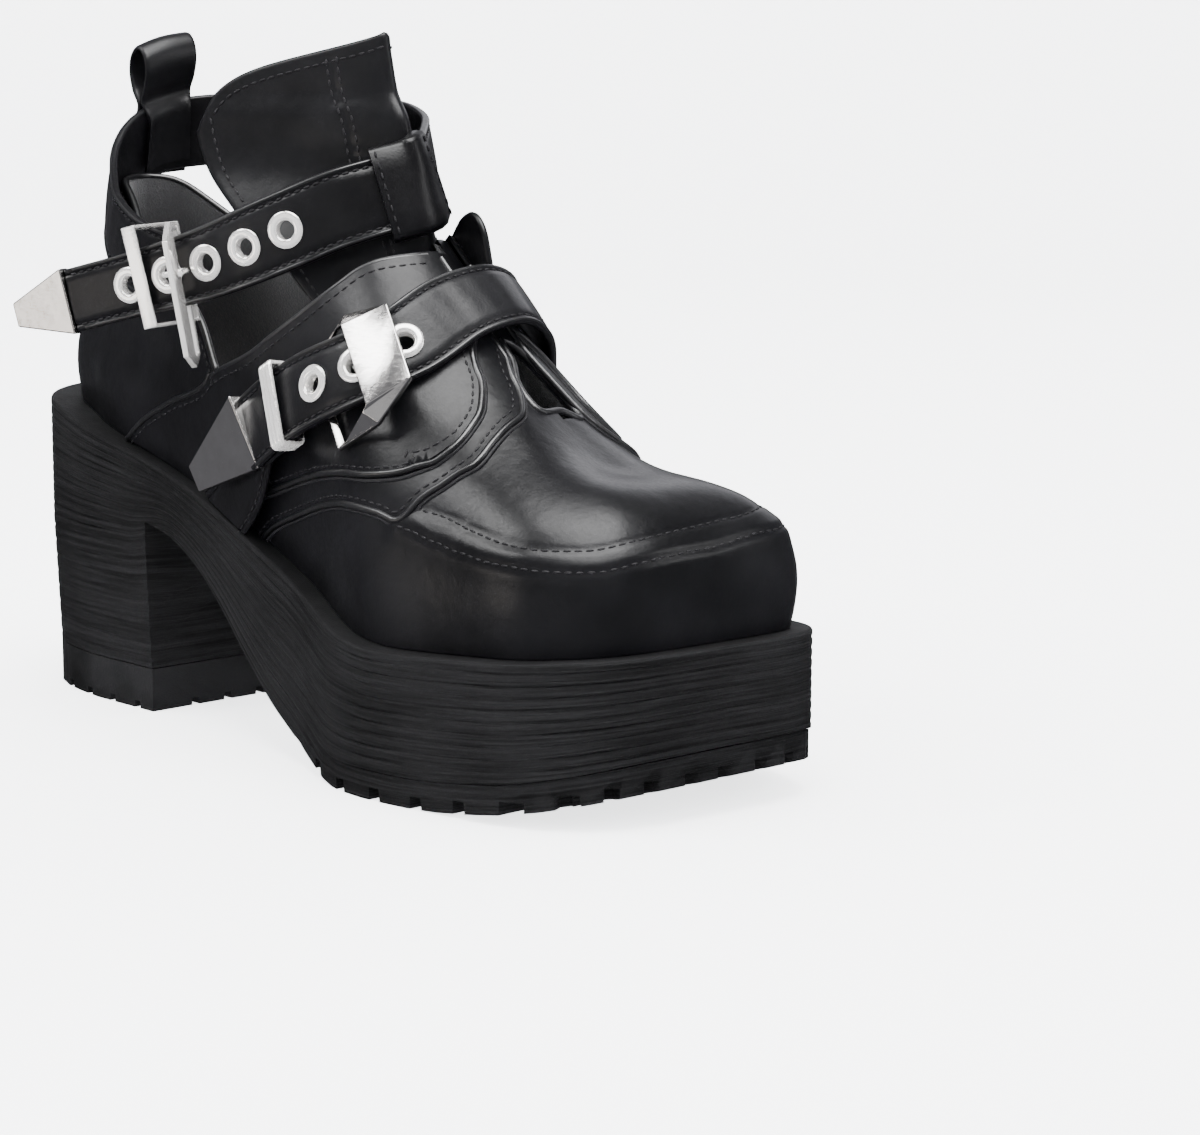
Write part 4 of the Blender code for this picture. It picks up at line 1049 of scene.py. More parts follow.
# The upper front edges (x, y) as seen from above, from the ridge outward.
OUTER_WING_FRONT = ((183, 2), (186, -6), (190.3, -11.5), (195.4, -14.5), (199.6, -16), (204.6, -20),
                    (207.1, -22.8), (208.8, -27.4), (209.2, -31.3), (207.7, -35.2), (204.4, -39.3),
                    (198.5, -43))
INNER_WING_FRONT = ((189, 2), (193.5, -1.7), (198.9, -4.7), (203.6, -6.2), (208.4, -9.1),
                    (212.1, -12.7), (214.4, -20.1), (216.2, -26.9), (216.9, -31), (215.7, -35.2),
                    (211.5, -40.1))
FRONT_FROM, RIDGE_Y, FRONT_LAP = 88.4, 3.0, 0.6
STOP = (-2.1, 8.1)            # where the outer and the inner side's wings end by the ridge
TOP_LINE = (WING_TOP, MEDIAL_WING_TOP)
# Lift off the last, margin behind the seam, side drawing and front edge from above.
WINGS = {"inner": (0.9, 1.2, INNER_WING_EDGE, INNER_WING_FRONT),
         "outer": (1.8, 0.4, OUTER_WING_EDGE, OUTER_WING_FRONT)}


def collar_prism(wing_top):
    """The space above the collar and the wing tops."""
    line = np.vstack([(-20, 156), spline(QUARTER_TOP, 40), spline(wing_top, 40)[1:]]) + [0, 0.1]
    return prism("collar", [*line, (215, 185), (215, 260), (-20, 260)], -90, 90)


def front_edge(label, side):
    """A wing's upper front edge from above; the inner side mirrors the outer one."""
    flat = np.array(WINGS[label][3], float)
    if side == 1:
        flat[:, 1] = 2 * RIDGE_Y - flat[:, 1]
    return spline(flat, 140)


def wing(name, label, side):
    """One panel: the last grown by a lift inside its outlines, hollowed to a shell."""
    lift, margin, edge, _ = WINGS[label]
    lap = FRONT_FROM + FRONT_LAP
    outline = [*spline(edge, 90)[::-1], *((x - margin, z) for x, z in WING_SEAM),
               (110, 190), (240, 190), (240, lap), (edge[-1][0], lap)]
    front, far = front_edge(label, side), (-70, 76)[side]
    before = [*front, (front[-1][0], far), (290, far), (290, RIDGE_Y), (front[0][0], RIDGE_Y)]
    low, high = ((-90, STOP[0]), (STOP[1], 90))[side]
    panel = last_solid(name, lift, 150, 44, lift=2 * GAP + margin / 4)
    cut(panel, collar_prism(TOP_LINE[side]))
    cut(panel, prism("throat", THROAT, 93, 160, axis=2), sharp=30)
    cut(panel, prism("front", before, FRONT_FROM, 170, axis=2), sharp=30)
    cut(panel, prism("outline", outline, low, high), "INTERSECT")
    return cut(panel, last_solid("hollow", -0.35, 90, 26, lift=-12))


wings = {}
for label in WINGS:
    for side, word in enumerate(("lateral", "medial")):
        piece = wing("%s_wing_%s" % (label, word), label, side)
        wings[label, side] = tree_of(dressed(piece, "black_leather"))

# %% [markdown]
# ## Rolled edges and stitch rows on the upper
# A seam is drawn flat, as the pattern cutter does, seen straight from the side. Rays
# shot across the boot carry the drawing onto the leather and give the outward direction.
# Where the leather lies nearly flat, by the ridge, the seam is drawn from above instead.

# %% Seams drawn flat
SIDE_SIGN, SKY = (-1, 1), 260.0
# The last radius here and the second distance below are for a thin matt black line of painted
# shadow just outside each wing's edge, where the edge would cast its shade.
ROLL_SINK, ROLL_RADIUS, COLLAR_RADIUS, SHADOW_LINE_RADIUS = 0.35, 1.0, 1.15, 0.55
ON_TOP = 0.05                 # how far a stitch's middle lies over the leather
STITCH_IN, SHADOW_LINE_OUT = 2.2, 1.25              # from a wing's edge
TOP_ROLL_IN, TOP_SINK, TOP_STITCH_IN = 0.5, 0.8, 3.2
COLLAR_SINK, COLLAR_STITCH_IN, COLLAR_STITCH_END, COLLAR_END = 0.95, 3.0, 98, 176
THROAT_SINK = 0.4


def from_side(line, tree, side, lift=0.0, stop=None):
    """A side drawing (x, z) carried onto a surface: points and outward directions."""
    sign = SIDE_SIGN[side]
    return hits(tree, [(x, 200.0 * sign, z) for x, z in line], (0, -sign, 0), lift,
                lambda spot, normal: normal.y * sign >= 0.05
                and (stop is None or (spot.y - stop) * sign >= 0))


def from_above(line, tree, lift, low=0.0, flat=-1.0):
    """A drawing (x, y) carried down onto leather that is high and flat enough."""
    return hits(tree, [(x, y, SKY) for x, y in line], (0, 0, -1), lift,
                lambda spot, normal: spot.z > low and normal.z > flat)


def shifted(line, distance):
    """A flat line moved sideways, to its left for a positive distance."""
    return line + leftward(unit(np.gradient(line, axis=0))) * distance


def softened(points, passes=2):
    """A line with small steps smoothed away; its ends stay."""
    points = points.copy()
    for _ in range(passes):
        points[1:-1] = points[1:-1] * 0.5 + (points[:-2] + points[2:]) * 0.25
    return points


def pair(found, passes=3):
    return softened(found[0], passes), softened(found[1], passes)


def joined(first, second):
    """Two found lines as one."""
    return tuple(np.vstack(both) for both in zip(first, second))


def border_line(label, side, inward, tree, lift):
    """A wing's edge moved inward, carried onto a surface from the side, then from above."""
    sign = SIDE_SIGN[side]
    low = from_side(shifted(spline(WINGS[label][2], 240), inward), tree, side, lift)
    front = shifted(front_edge(label, side)[::-1], -sign * inward)
    front = front[(front[:, 1] - STOP[side]) * sign > 0]
    return joined(low, from_above(front, tree, lift, low=FRONT_FROM + 0.4, flat=0.05))


rolls, rows, shadows = [], [], []
for (label, side), tree in wings.items():
    sink = WINGS[label][0] - ROLL_SINK
    border = border_line(label, side, 0.0, bare_tree, sink)
    by_ridge = [(x, STOP[side]) for x in np.arange(border[0][-1, 0] - 0.8, 166, -0.8)]
    rolls.append(pair(joined(border, from_above(by_ridge, bare_tree, sink, flat=0.2))))
    under = bare_tree if label == "inner" else wings["inner", side]
    # A thin dark line on the leather under each wing's edge is painted shadow for the gap below
    # that edge.
    shadows.append(pair(border_line(label, side, -SHADOW_LINE_OUT, under, ON_TOP)))
    rows.append(pair(border_line(label, side, STITCH_IN, tree, ON_TOP)))
    if label == "outer":
        flat = spline([(x - 0.4, z) for x, z in WING_SEAM[1:]], 90)
        rolls.append(pair(from_side(flat, bare_tree, side, sink)))
        rows.append(pair(from_side(shifted(flat, -STITCH_IN), tree, side, ON_TOP)))


# %% Collar and throat edges
def collar_line(shift, lift, high=400.0):
    """The top edge round the back, shift mm down the leather and lifted off it."""
    points, outs = [], []
    for i in range(STATIONS, -STATIONS, -1):
        x, y = outer[-1, i, :2][:, None]
        if not is_open[i] or in_throat(x, y)[0] or x[0] > COLLAR_END:
            continue
        column, lean = outer[::-1, i], outward[::-1, i]
        spot, out = (at_run(line, run_along(column), shift) for line in (column, lean))
        if 0 <= spot[0] <= high:
            points.append(spot + out * lift)
            outs.append(out)
    return pair((np.array(points), np.array(outs)))


rows.append(collar_line(COLLAR_STITCH_IN, 0.1, high=COLLAR_STITCH_END))
for side in range(2):
    flat = spline(TOP_LINE[side], 120)
    tree = wings["outer", side]
    border, inside = shifted(flat, -TOP_ROLL_IN), shifted(flat, -TOP_STITCH_IN)
    rolls.append(pair(from_side(border, tree, side, -TOP_SINK, STOP[side])))
    rows.append(pair(from_side(inside, tree, side, ON_TOP, STOP[side])))
throat_edge = from_above(spline(THROAT, 120, closed=True), grid_tree(form), -THROAT_SINK)
piped("throat_rolled_edge", [pair(throat_edge)], COLLAR_RADIUS)
piped("collar_rolled_edge", [collar_line(0.0, -COLLAR_SINK)], COLLAR_RADIUS)
piped("wing_rolled_edges", rolls, ROLL_RADIUS)
# The line along the wings' edges is painted shadow: a thin tube in the thread's matt black.
piped("wing_edge_paint", shadows, SHADOW_LINE_RADIUS, look=thread)

# %% Toe and back seams
rows += [on_leather(seam, wall_tree, ON_TOP) for seam in (apron, plug)]
rows += [hits(wall_tree, [(-60, y, z) for z in np.linspace(93, 153, 60)], (1, 0, 0), ON_TOP)
         for y in (-2.6, 2.6)]
stitched("upper_stitches", rows)


# %% [markdown]
# ## The standing corner of the inner wing
# On the inner side one corner of the wing stands up beside the flap. It is a small
# curved sheet, so it is lofted between its foot and its top line and given a wall.

# %% Sheets
def sheet(name, grid, thick, look, rim=3):
    """A bent sheet with rounded borders, from a grid of points on its middle."""
    normal = grid_normal(grid)
    table = np.arange(normal[..., 0].size).reshape(grid.shape[:2])
    border = np.concatenate([table[0], table[1:, -1], table[-1, -2::-1], table[-2:0:-1, 0]])
    flat, lean = grid.reshape(-1, 3), normal.reshape(-1, 3)
    ring, across = flat[border], lean[border] * thick / 2
    aside = unit(np.cross(np.roll(ring, -1, axis=0) - np.roll(ring, 1, axis=0), lean[border]))
    if np.mean(np.einsum("ij,ij->i", aside, ring - flat.mean(axis=0))) < 0:
        aside = -aside
    points = [flat + lean * thick / 2, flat - lean * thick / 2]
    for turn in math.pi * np.arange(1, rim + 1) / (rim + 1):
        points.append(ring + across * math.cos(turn) + aside * math.sin(turn) * thick * 0.45)
    rims = 2 * table.size + np.arange(rim * len(border)).reshape(rim, -1)
    faces = quads(table) + quads(table.size + table.T)
    faces += quads(ringed(np.vstack([border, rims, table.size + border])))
    return shape(name, np.vstack(points), faces, look, sharp=60)


WING_PEAK = (
    # foot x, y, z, top x, y, z
    (156, 13, 138, 156.5, 11.5, 144), (160, 12.5, 135.5, 161, 11.5, 149.5),
    (165, 12, 133, 166.5, 10.5, 151.2), (170, 11, 130, 171.5, 9.6, 147.5),
    (175, 10, 127, 175.2, 9.2, 136.5), (178, 9.4, 124.5, 178.2, 9, 129),
)
foot, tip = spline(WING_PEAK, 40).reshape(-1, 2, 3).transpose(1, 0, 2)
share = np.linspace(0, 1, 14)[:, None, None]
dressed(sheet("wing_corner", foot * (1 - share) + tip * share, 2.0, leather), "black_leather")

# %% [markdown]
# ## The ankle flap
# The shaft is one folded panel round the front of the ankle, open at both sides. Its
# crease is sharp at the top and round lower down. A vertical seam with puckered leather
# runs behind the crease, and the free borders are turned and stitched.

# %% Flap
FLAP_LOW, FLAP_TOP, FLAP_THICK = 118.0, 200.7, 2.0
FLAP_Z = (118, 138, 150, 163, 177, 185, 195, 201)
flap_front = curve(FLAP_Z, (163.5, 157.4, 156.4, 151.2, 147.8, 142.9, 140.6, 139.2))
flap_half = curve(FLAP_Z, (21, 26, 27, 27.1, 26.8, 26.4, 26, 25.8))
flap_steep = curve(FLAP_Z, (1.5, 1.72, 2.2, 2.4, 2.5, 2.5, 2.6, 2.6))
flap_round = curve(FLAP_Z, (12, 10, 5, 3, 2.5, 2.5, 2.5, 2.5))
SEAM_ACROSS = 0.30            # the puckered seam's place between crease and border


def flap_place(across, share):
    """Places on the flap: across from -1 to 1, share from its foot to its top."""
    top = FLAP_TOP - 15 * np.abs(across) - 13 * np.abs(across) ** 8
    low = FLAP_LOW + 6 * (1 - np.abs(across))
    z = low + (top - low) * share
    y = across * flap_half(z)
    tip = flap_round(z)
    x = flap_front(z) - flap_steep(z) * (np.sqrt(y ** 2 + tip ** 2) - tip)
    return np.stack([x, y + INSTEP_LEAN * 0.3, z], axis=-1)


ACROSS_SCALE, FOLD = 60, 1.4          # half width in mm, crowding of columns at the crease
across, share = np.meshgrid(np.sinh(np.linspace(-FOLD, FOLD, 121)) / np.sinh(FOLD),
                            np.linspace(0, 1, 100))
flap_grid = flap_place(across, share)
flap_normal = grid_normal(flap_grid)
if flap_normal[50, 60, 0] < 0:
    flap_normal = -flap_normal
off_seam = (np.abs(across) - SEAM_ACROSS) * ACROSS_SCALE
pucker = np.sin(share * 92 + 2.0 * np.sin(share * 31)) * 0.10 * bell(off_seam, 3.2)
seam_dip = -0.25 * bell(off_seam, 1.1)
waves = 0.25 * np.sin(across * 5.0 + share * 4.0) * np.sin(share * 7.0 + 1.0)
dimple = -0.25 * bell((across + 0.52) * ACROSS_SCALE, 5) * bell((share - 0.66) * 80, 4)
calm = ease(0.0, 0.08, 1 - np.abs(across)) * ease(0.0, 0.05, share) * ease(0.0, 0.05, 1 - share)
flap_grid += flap_normal * ((pucker + seam_dip + waves + dimple) * calm)[..., None]
flap = sheet("ankle_flap_panel", flap_grid, FLAP_THICK, leather)
flap_tree = tree_of(dressed(flap, "black_leather", "ankle_flap"))


def flap_line(acrosses, shares):
    """A line on the flap's outer face."""
    middle = flap_place(*np.broadcast_arrays(acrosses, shares))
    away = unit(np.column_stack([np.full(len(middle), 0.4), np.sign(middle[:, 1]) * 0.9,
                                 np.zeros(len(middle))]))
    return hits(flap_tree, middle + away * 12, -away, 0.1)


flap_rows = []
for sign in (-1, 1):
    flap_rows.append(flap_line(sign * np.linspace(0.04, 0.90, 60), np.linspace(0.962, 0.955, 60)))
    flap_rows.append(flap_line(sign * 0.93, np.linspace(0.94, 0.06, 60)))
    for shift in (-0.025, 0.025):
        flap_rows.append(flap_line((SEAM_ACROSS + shift) * sign, np.linspace(0.96, 0.1, 60)))
stitched("flap_stitches", flap_rows)

# %% [markdown]
# ## Straps
# A strap is a flat band that wraps the ankle, so it is swept along a path whose frames
# know which way is out. Its section has turned edges and two shallow channels where the
# stitch rows lie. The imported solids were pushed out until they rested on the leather, so
# the path is set to the middle of each solid by rays before anything is swept.

# %% Strap path
STRAP_WIDTH, STRAP_THICK = 22.0, 2.4


class Path:
    """A strap's middle line with its own outward and upward directions."""

    def __init__(self, centre, out):
        self.centre = centre
        self.along = unit(np.gradient(centre, axis=0))
        self.up = unit(np.cross(self.along, out))
        self.out = np.cross(self.up, self.along)
        self.run = run_along(centre)
        self.length = self.run[-1]

    def at(self, run):
        """Place on the path at a distance along it: origin, along, up, out."""
        found = [at_run(line, self.run, run)
                 for line in (self.centre, self.along, self.up, self.out)]
        return [found[0]] + [unit(v) for v in found[1:]]

    def nearest(self, place):
        """Distance along the path of its point nearest to a place."""
        off = np.linalg.norm(self.centre - np.array(place), axis=1)
        return float(self.run[int(np.argmin(off))])


def leaning_path(table, count):
    """A free strap: its face stands upright and leans by the table's angle."""
    line = spline(table, count)
    along = unit(np.gradient(line[:, :3], axis=0))
    out = unit(np.cross([0, 0, 1], along))
    lean = np.radians(line[:, 3:4])
    return Path(line[:, :3], out * np.cos(lean) + np.cross(along, out) * np.sin(lean))


def seated(path, node, reach=9, window=14):
    """The path moved onto the middle of a packed strap."""
    tree = tree_of(nodes[node])
    lift = np.full(len(path.centre), np.nan)
    for i, (centre, up, out) in enumerate(zip(path.centre, path.up, path.out)):
        found = []
        for b in (-5, -2.5, 0, 2.5, 5):
            outer_end, inner_end = (Vector(centre + up * b + out * n) for n in (reach, -reach))
            hit = tree.ray_cast(outer_end, Vector(-out), 2 * reach)[0]
            if hit is None:
                continue
            other = tree.ray_cast(inner_end, Vector(out), 2 * reach)[0]
            if (hit - other).length < STRAP_THICK * 1.6:
                found.append(float((np.array(hit + other) / 2 - centre) @ out))
        if found:
            lift[i] = np.median(found)
    known = ~np.isnan(lift)
    lift = np.interp(path.run, path.run[known], lift[known])
    for _ in range(2):
        padded = np.pad(lift, window, mode="edge")
        lift = np.convolve(padded, np.full(2 * window + 1, 1 / (2 * window + 1)), mode="valid")
    print("%-14s moved outward by %.2f to %.2f mm" % (node, lift.min(), lift.max()))
    return Path(path.centre + path.out * lift[:, None], path.out)


def local(spot, points):
    """Points given as (along, up, out) in a frame, as places in the model."""
    origin, along, up, out = spot
    return [origin + a * along + b * up + n * out for a, b, n in points]


# %% Strap sections and sweeps
def strap_section(thick=STRAP_THICK, channel=2.3):
    """A strap's section as (up, out): turned edges and two stitch channels outside."""
    half, t = STRAP_WIDTH / 2, thick / 2
    side = [(half - 0.9 + 0.9 * math.sin(a), -t + (1 - math.cos(a)) * t)
            for a in np.linspace(0, QUARTER, 5)]
    side += [(half - 1.2 + 1.2 * math.cos(a), t * math.sin(a))
             for a in np.linspace(0.25, 1.5708, 6)]
    dip = [(half - channel + b, t - n)
           for b, n in ((0.9, 0), (0.45, 0.25), (0, 0.5), (-0.45, 0.25), (-0.9, 0))]
    right_half = side + dip + [(half * 0.55, t + 0.12), (half * 0.25, t + 0.2), (0, t + 0.22)]
    left_half = [(-b, n) for b, n in right_half[-2::-1]]
    return right_half + left_half + [(-half * 0.5, -t), (0, -t), (half * 0.5, -t)]


def loft(name, rings, look, sharp=40):
    """A skin over equal rings of points, closed at both ends."""
    count = len(rings[0])
    faces = skin(len(rings), count) + caps(count, 0, (len(rings) - 1) * count)
    return shape(name, np.concatenate(rings), faces, look, sharp)


def sweep(name, path, runs, section, look=strap_leather, widths=None, ripple=0.0):
    """A section given as (up, out) carried along a path, with a slight waviness."""
    rings = []
    for run, width in zip(runs, np.ones(len(runs)) if widths is None else widths):
        wave = ripple * (math.sin(run * 0.41) + 0.6 * math.sin(run * 0.93 + 1.3))
        rings.append(local(path.at(run), [(0, b * width, n + wave * math.cos(b * 0.12))
                                          for b, n in section]))
    return loft(name, rings, look, sharp=50)


def hole_cutters(path, runs, radius=3.2, sides=32):
    """Round cutters across a strap."""
    points, faces = [], []
    for run in runs:
        start = len(points)
        points += local(path.at(run), [(a, b, n) for n in (-5, 5)
                                       for a, b in circle(radius, sides)])
        faces += caps(sides, start, start + sides) + skin(2, sides, start)
    return shape("holes", points, faces, leather)


def lines_along(path, runs, out, ups, widths=None):
    """Lines along a strap at several heights from its middle and one outward place."""
    widths = np.ones(len(runs)) if widths is None else widths
    spots = [path.at(run) for run in runs]
    outs = np.array([spot[3] for spot in spots])
    return [(np.array([spot[0] + spot[2] * b * w + spot[3] * out
                       for spot, w in zip(spots, widths)]), outs) for b in ups]


STITCH_UPS, ROLL_UPS = (-8.7, 8.7), (-10.1, 10.1)
STITCH_OUT, ROLL_OUT, STRAP_ROLL_RADIUS = 0.95, 0.75, 0.6


def edged(label, path, runs, widths=None):
    """The stitch rows and rolled edges of a strap."""
    stitched(label + "_stitches", lines_along(path, runs, STITCH_OUT, STITCH_UPS, widths))
    edges = [pair(line) for line in lines_along(path, runs, ROLL_OUT, ROLL_UPS, widths)]
    piped(label + "_rolls", edges, STRAP_ROLL_RADIUS)


# %% Ankle strap
ANKLE_STRAP = (
    # x, y, z, lean in degrees
    (93, -34, 131.5, 0), (68, -33.5, 136, 0), (51, -29.5, 142, 2), (38, -22.5, 148, 6),
    (27, -13.5, 155, 8), (19.5, -2, 163, 8), (17, 9, 168, 8), (19.5, 21, 170, 6),
    (30, 33, 171, 0), (50, 39, 171, 0), (76, 40, 171, 0), (106, 35.5, 170, 2),
    (130, 25, 167, 8), (142.5, 15, 164, 12), (152.3, 5.6, 161.4, 16), (155.9, -0.6, 159.3, 18),
    (153, -8.5, 157.3, 16), (144, -20, 153, 6), (131, -29.5, 146.3, 2), (109, -40, 136.8, 0),
    (86, -49, 129.9, 0), (66, -56, 124.4, 0),
)
EYELET_STEP, TAIL_TAPER = 13.5, 0.84
ankle_path = seated(leaning_path(ANKLE_STRAP, 400), "ankle_strap")
first_hole = ankle_path.nearest((132.5, -28.3, 147))
ankle_spots = [first_hole + k * EYELET_STEP for k in range(5)]
runs = np.linspace(0, ankle_path.length, 260)
widths = 1 - (1 - TAIL_TAPER) * ease(first_hole + 5, ankle_path.length - 15, runs)
strap = sweep("ankle_strap_leather", ankle_path, runs, strap_section(), widths=widths, ripple=0.10)
cut(strap, hole_cutters(ankle_path, ankle_spots), sharp=50)
dressed(strap, "black_leather", "ankle_strap")
edged("ankle_strap", ankle_path, runs[2:-2], widths[2:-2])

# %% Instep strap
INSTEP_STRAP = (
    # x, y, z, lean in degrees
    (118, 33.5, 57, -4), (126, 34.4, 66, -4), (137, 36.9, 76.5, -2), (149, 38.0, 91, 7),
    (162, 35, 106, 19), (172, 28, 117, 31), (179, 18.5, 124.5, 41), (183.2, 4, 128.6, 48),
    (184.5, -12, 127, 46), (184, -29.7, 118.7, 38), (174, -39.3, 112, 24),
    (161, -42.3, 106, 13), (145.5, -42.6, 98.7, 8), (131.5, -42.2, 90.2, 5),
)
INSTEP_STEP = 14.3
instep_path = seated(leaning_path(INSTEP_STRAP, 300), "instep_strap")
middle_hole = instep_path.nearest((175.8, -38.2, 113))
instep_spots = [middle_hole + k * INSTEP_STEP for k in (-1, 0, 1)]
runs = np.linspace(0, instep_path.length, 200)


def footbed_prism():
    """The sole's top edge and what lies under it, where the straps go down to it."""
    top = [(x, float(top_z(x)) + 2 * GAP) for x in np.linspace(90, 150, 30)]
    return prism("footbed", top + [(150, 20), (90, 20)], -70, 70)


strap = sweep("instep_strap_leather", instep_path, runs, strap_section(), ripple=0.08)
cut(strap, hole_cutters(instep_path, instep_spots))
cut(strap, footbed_prism(), sharp=50)
dressed(strap, "black_leather", "instep_strap")
edged("instep_strap", instep_path, runs[8:-2])

# %% The billet under the instep strap
BILLET_THICK = 1.6
BILLET_FOOT = ((124, -38.6, 76), (116, -37.5, 68), (109, -36.8, 62))
sunk = (STRAP_THICK + BILLET_THICK) / 2 + GAP
start = instep_path.nearest((153, -42, 102))
under = [instep_path.at(run) for run in np.linspace(start, instep_path.length - 2, 8)]
table = [np.concatenate([spot[0] - spot[3] * sunk, spot[3]]) for spot in under]
table += [np.concatenate([place, under[-1][3]]) for place in BILLET_FOOT]
line = spline(table, 120)
billet_path = Path(line[:, :3], line[:, 3:])
billet = sweep("instep_billet_leather", billet_path, np.linspace(0, billet_path.length, 70),
               strap_section(BILLET_THICK))
dressed(cut(billet, footbed_prism(), sharp=50), "black_leather", "instep_billet")
runs = np.linspace(8, billet_path.length - 6, 60)
stitched("instep_billet_stitches", lines_along(billet_path, runs, 0.6, STITCH_UPS))

# %% [markdown]
# ## The loop in front and the pull loop behind
# A wide leather loop holds the strap to the front of the flap. At the back a tab is
# folded over the strap and goes on up into a pull loop, so it is one ribbon bent in
# its own thickness and swept across its width.

# %% The front loop
LOOP_EDGE = ((13.6, -1.0), (13.55, 0.9), (13.0, 2.3), (11.8, 3.0), (6, 3.15), (0, 3.2))
LOOP_INSIDE = ((12.6, -1.3), (12.0, -0.9), (11.9, 0.6), (11.2, 1.6), (0, 1.62))


def mirrored(half):
    """Half a section, given from its edge to its middle, and its mirror image."""
    return [*half, *((-b, n) for b, n in half[-2::-1])]


front = ankle_path.nearest((158.8, 0, 159.5))
runs = np.linspace(front - 8, front + 12, 40)
section = [(-b, n) for b, n in mirrored(LOOP_EDGE)] + mirrored(LOOP_INSIDE)
dressed(sweep("front_loop_leather", ankle_path, runs, section), "black_leather", "front_loop")
loop_rows = []
for run in (runs[3], runs[-4]):
    spot = ankle_path.at(run)
    row = local(spot, [(0, b, 3.25) for b in np.linspace(-11, 11, 20)])
    loop_rows.append((np.array(row), np.tile(spot[3], (20, 1))))
stitched("front_loop_stitches", loop_rows)

# %% The tab and pull loop
SLOPE = math.tan(math.radians(8))
TAB_HALF, SKIN = 9.0, 1.3


def tab_place(middle, reach, b, n):
    """A place on the tab: along the strap, up, and out from the strap's middle."""
    centre, forward = ankle_path.at(middle)[:2]
    forward = unit(forward * [1, 1, 0])
    origin, along = ankle_path.at(middle + reach)[:2]
    along = unit(along * [1, 1, 0])
    upward = np.array([0.0, 0.0, 1.0])
    straight = centre + forward * reach
    straight[2] = origin[2]
    rise = float(ease(8.0, 16.0, b))
    low = origin + upward * b + np.cross(upward, along) * n
    high = straight + upward * b + np.cross(upward, forward) * n
    return low * (1 - rise) + high * rise


def tab_line():
    """The ribbon's middle in its own thickness: inside, round the pull loop, outside."""
    slot = STRAP_THICK / 2 + 4 * GAP + SKIN / 2
    neck = -SLOPE * 13
    points = [(-8, -slot + SLOPE * 8), (0, -slot), (8, -slot - SLOPE * 8), (13.5, neck - 1.1),
              (18, neck - 3.4), (23, neck - 4.8), (27.5, neck - 4.0), (30.2, neck - 1.2),
              (30.2, neck + 1.2), (27.5, neck + 4.0), (23, neck + 4.8), (18, neck + 3.4),
              (13.5, neck + 1.1), (8, slot - SLOPE * 8), (0, slot), (-12, slot + SLOPE * 12)]
    return spline(points, 120)


def tab_ribbon():
    middle = ankle_path.nearest((17, 10.5, 168))
    line = tab_line()
    side = shifted(line, SKIN / 2) - line
    rings = []
    for reach in np.linspace(-TAB_HALF, TAB_HALF, 26):
        soft = 1 - 0.35 * (abs(reach) > TAB_HALF - 0.5)
        outline = np.vstack([line + side * soft, (line - side * soft)[::-1]])
        rings.append([tab_place(middle, reach, b, n) for b, n in outline])
    return loft("heel_tab_ribbon", rings, strap_leather, sharp=60)


dressed(tab_ribbon(), "black_leather", "heel_tab")


# %% [markdown]
# ## Hardware
# Cast buckles, the ankle strap's keeper and the prongs keep the imported shapes. A copy of each is
# merged and its flat facets are joined, because the imported mesh is loose triangles, and then a
# small bevel rounds the edges as tumbling does, so they catch the light.

# %% Cast pieces
def bevelled(piece, width, angle=30):
    """Rounded edges wherever a piece bends by more than an angle in degrees."""
    step = piece.modifiers.new("rounded", "BEVEL")
    step.width, step.segments, step.harden_normals = width * MM, 3, True
    step.limit_method, step.angle_limit = "ANGLE", math.radians(angle)
    return settle(piece)


def cast(node, bevel, name, angle=18, look=nickel):
    """A copy of a packed hard piece with its facets joined and its edges rounded."""
    mesh = nodes[node].data.copy()
    mesh.name = name
    merged(mesh, lambda shell: bmesh.ops.dissolve_limit(
        shell, angle_limit=math.radians(2), verts=shell.verts, edges=shell.edges))
    mesh.materials.clear()
    mesh.materials.append(look)
    mesh.shade_smooth()
    return bevelled(linked(name, mesh), bevel, angle)


PRONG_DROP = 2.6              # the instep prong's tip rests under the plate
for node, bevel, angle, look in (
        ("ankle_buckle", 0.35, 18, satin_nickel), ("instep_buckle", 0.35, 18, nickel),
        ("ankle_keeper", 0.3, 18, satin_nickel), ("ankle_prong", 0.15, 40, satin_nickel),
        ("instep_prong", 0.15, 40, satin_nickel)):
    piece = cast(node, bevel, node + "_cast", angle, look)
    if "prong" in node:
        piece.data.set_sharp_from_angle(angle=math.radians(70))
    if node == "instep_prong":
        out = instep_path.at(instep_path.nearest(unplaced(piece.bound_box[0])))[3]
        piece.data.transform(Matrix.Translation(Vector(out) * -PRONG_DROP * MM))
    dressed(piece, "polished_nickel", node)

# %% [markdown]
# ## Strap ends
# Each strap ends in a cast cap with one broad flat face. It is wide over the leather and
# narrow at its end, and the face leans a little, so it mirrors another part of the room
# than the strap beside it.

# %% Strap ends
def flat_tip(name, path, length, end_width, taper, lean, back_by):
    """A flat-faced cap past a path's end; lean makes the face look down."""
    spot = path.at(path.length)
    spot[0] = spot[0] + spot[1] * GAP
    rings = []
    for a, half, crest in ((-back_by, STRAP_WIDTH / 2 * taper + 0.5, 2.6),
                           (length, end_width / 2, 1.9)):
        rings.append(local(spot, [(a, -half, -1.2), (a, -half, crest - lean * half),
                                  (a, half, crest + lean * half), (a, half, -1.2)]))
    return bevelled(loft(name, rings, nickel), 0.45)


for label, path, sizes in (("ankle_tip", ankle_path, (20, 7, TAIL_TAPER, 0.02, 0.0)),
                           ("instep_tip", instep_path, (28, 8, 0.97, 0.15, 3.0))):
    dressed(flat_tip(label + "_cast", path, *sizes), "polished_nickel", label)

# %% [markdown]
# ## The ridged keeper
# The instep strap's keeper is a band with three ridges in front. Its section, three
# bumps side by side, goes once round the strap with rounded corners.

# %% Keeper
HALF, HIGH, BAND, CORNER, KEEPER_WALL, BUMP = 11.4, 2.6, 5.4, 1.4, 0.8, 0.55


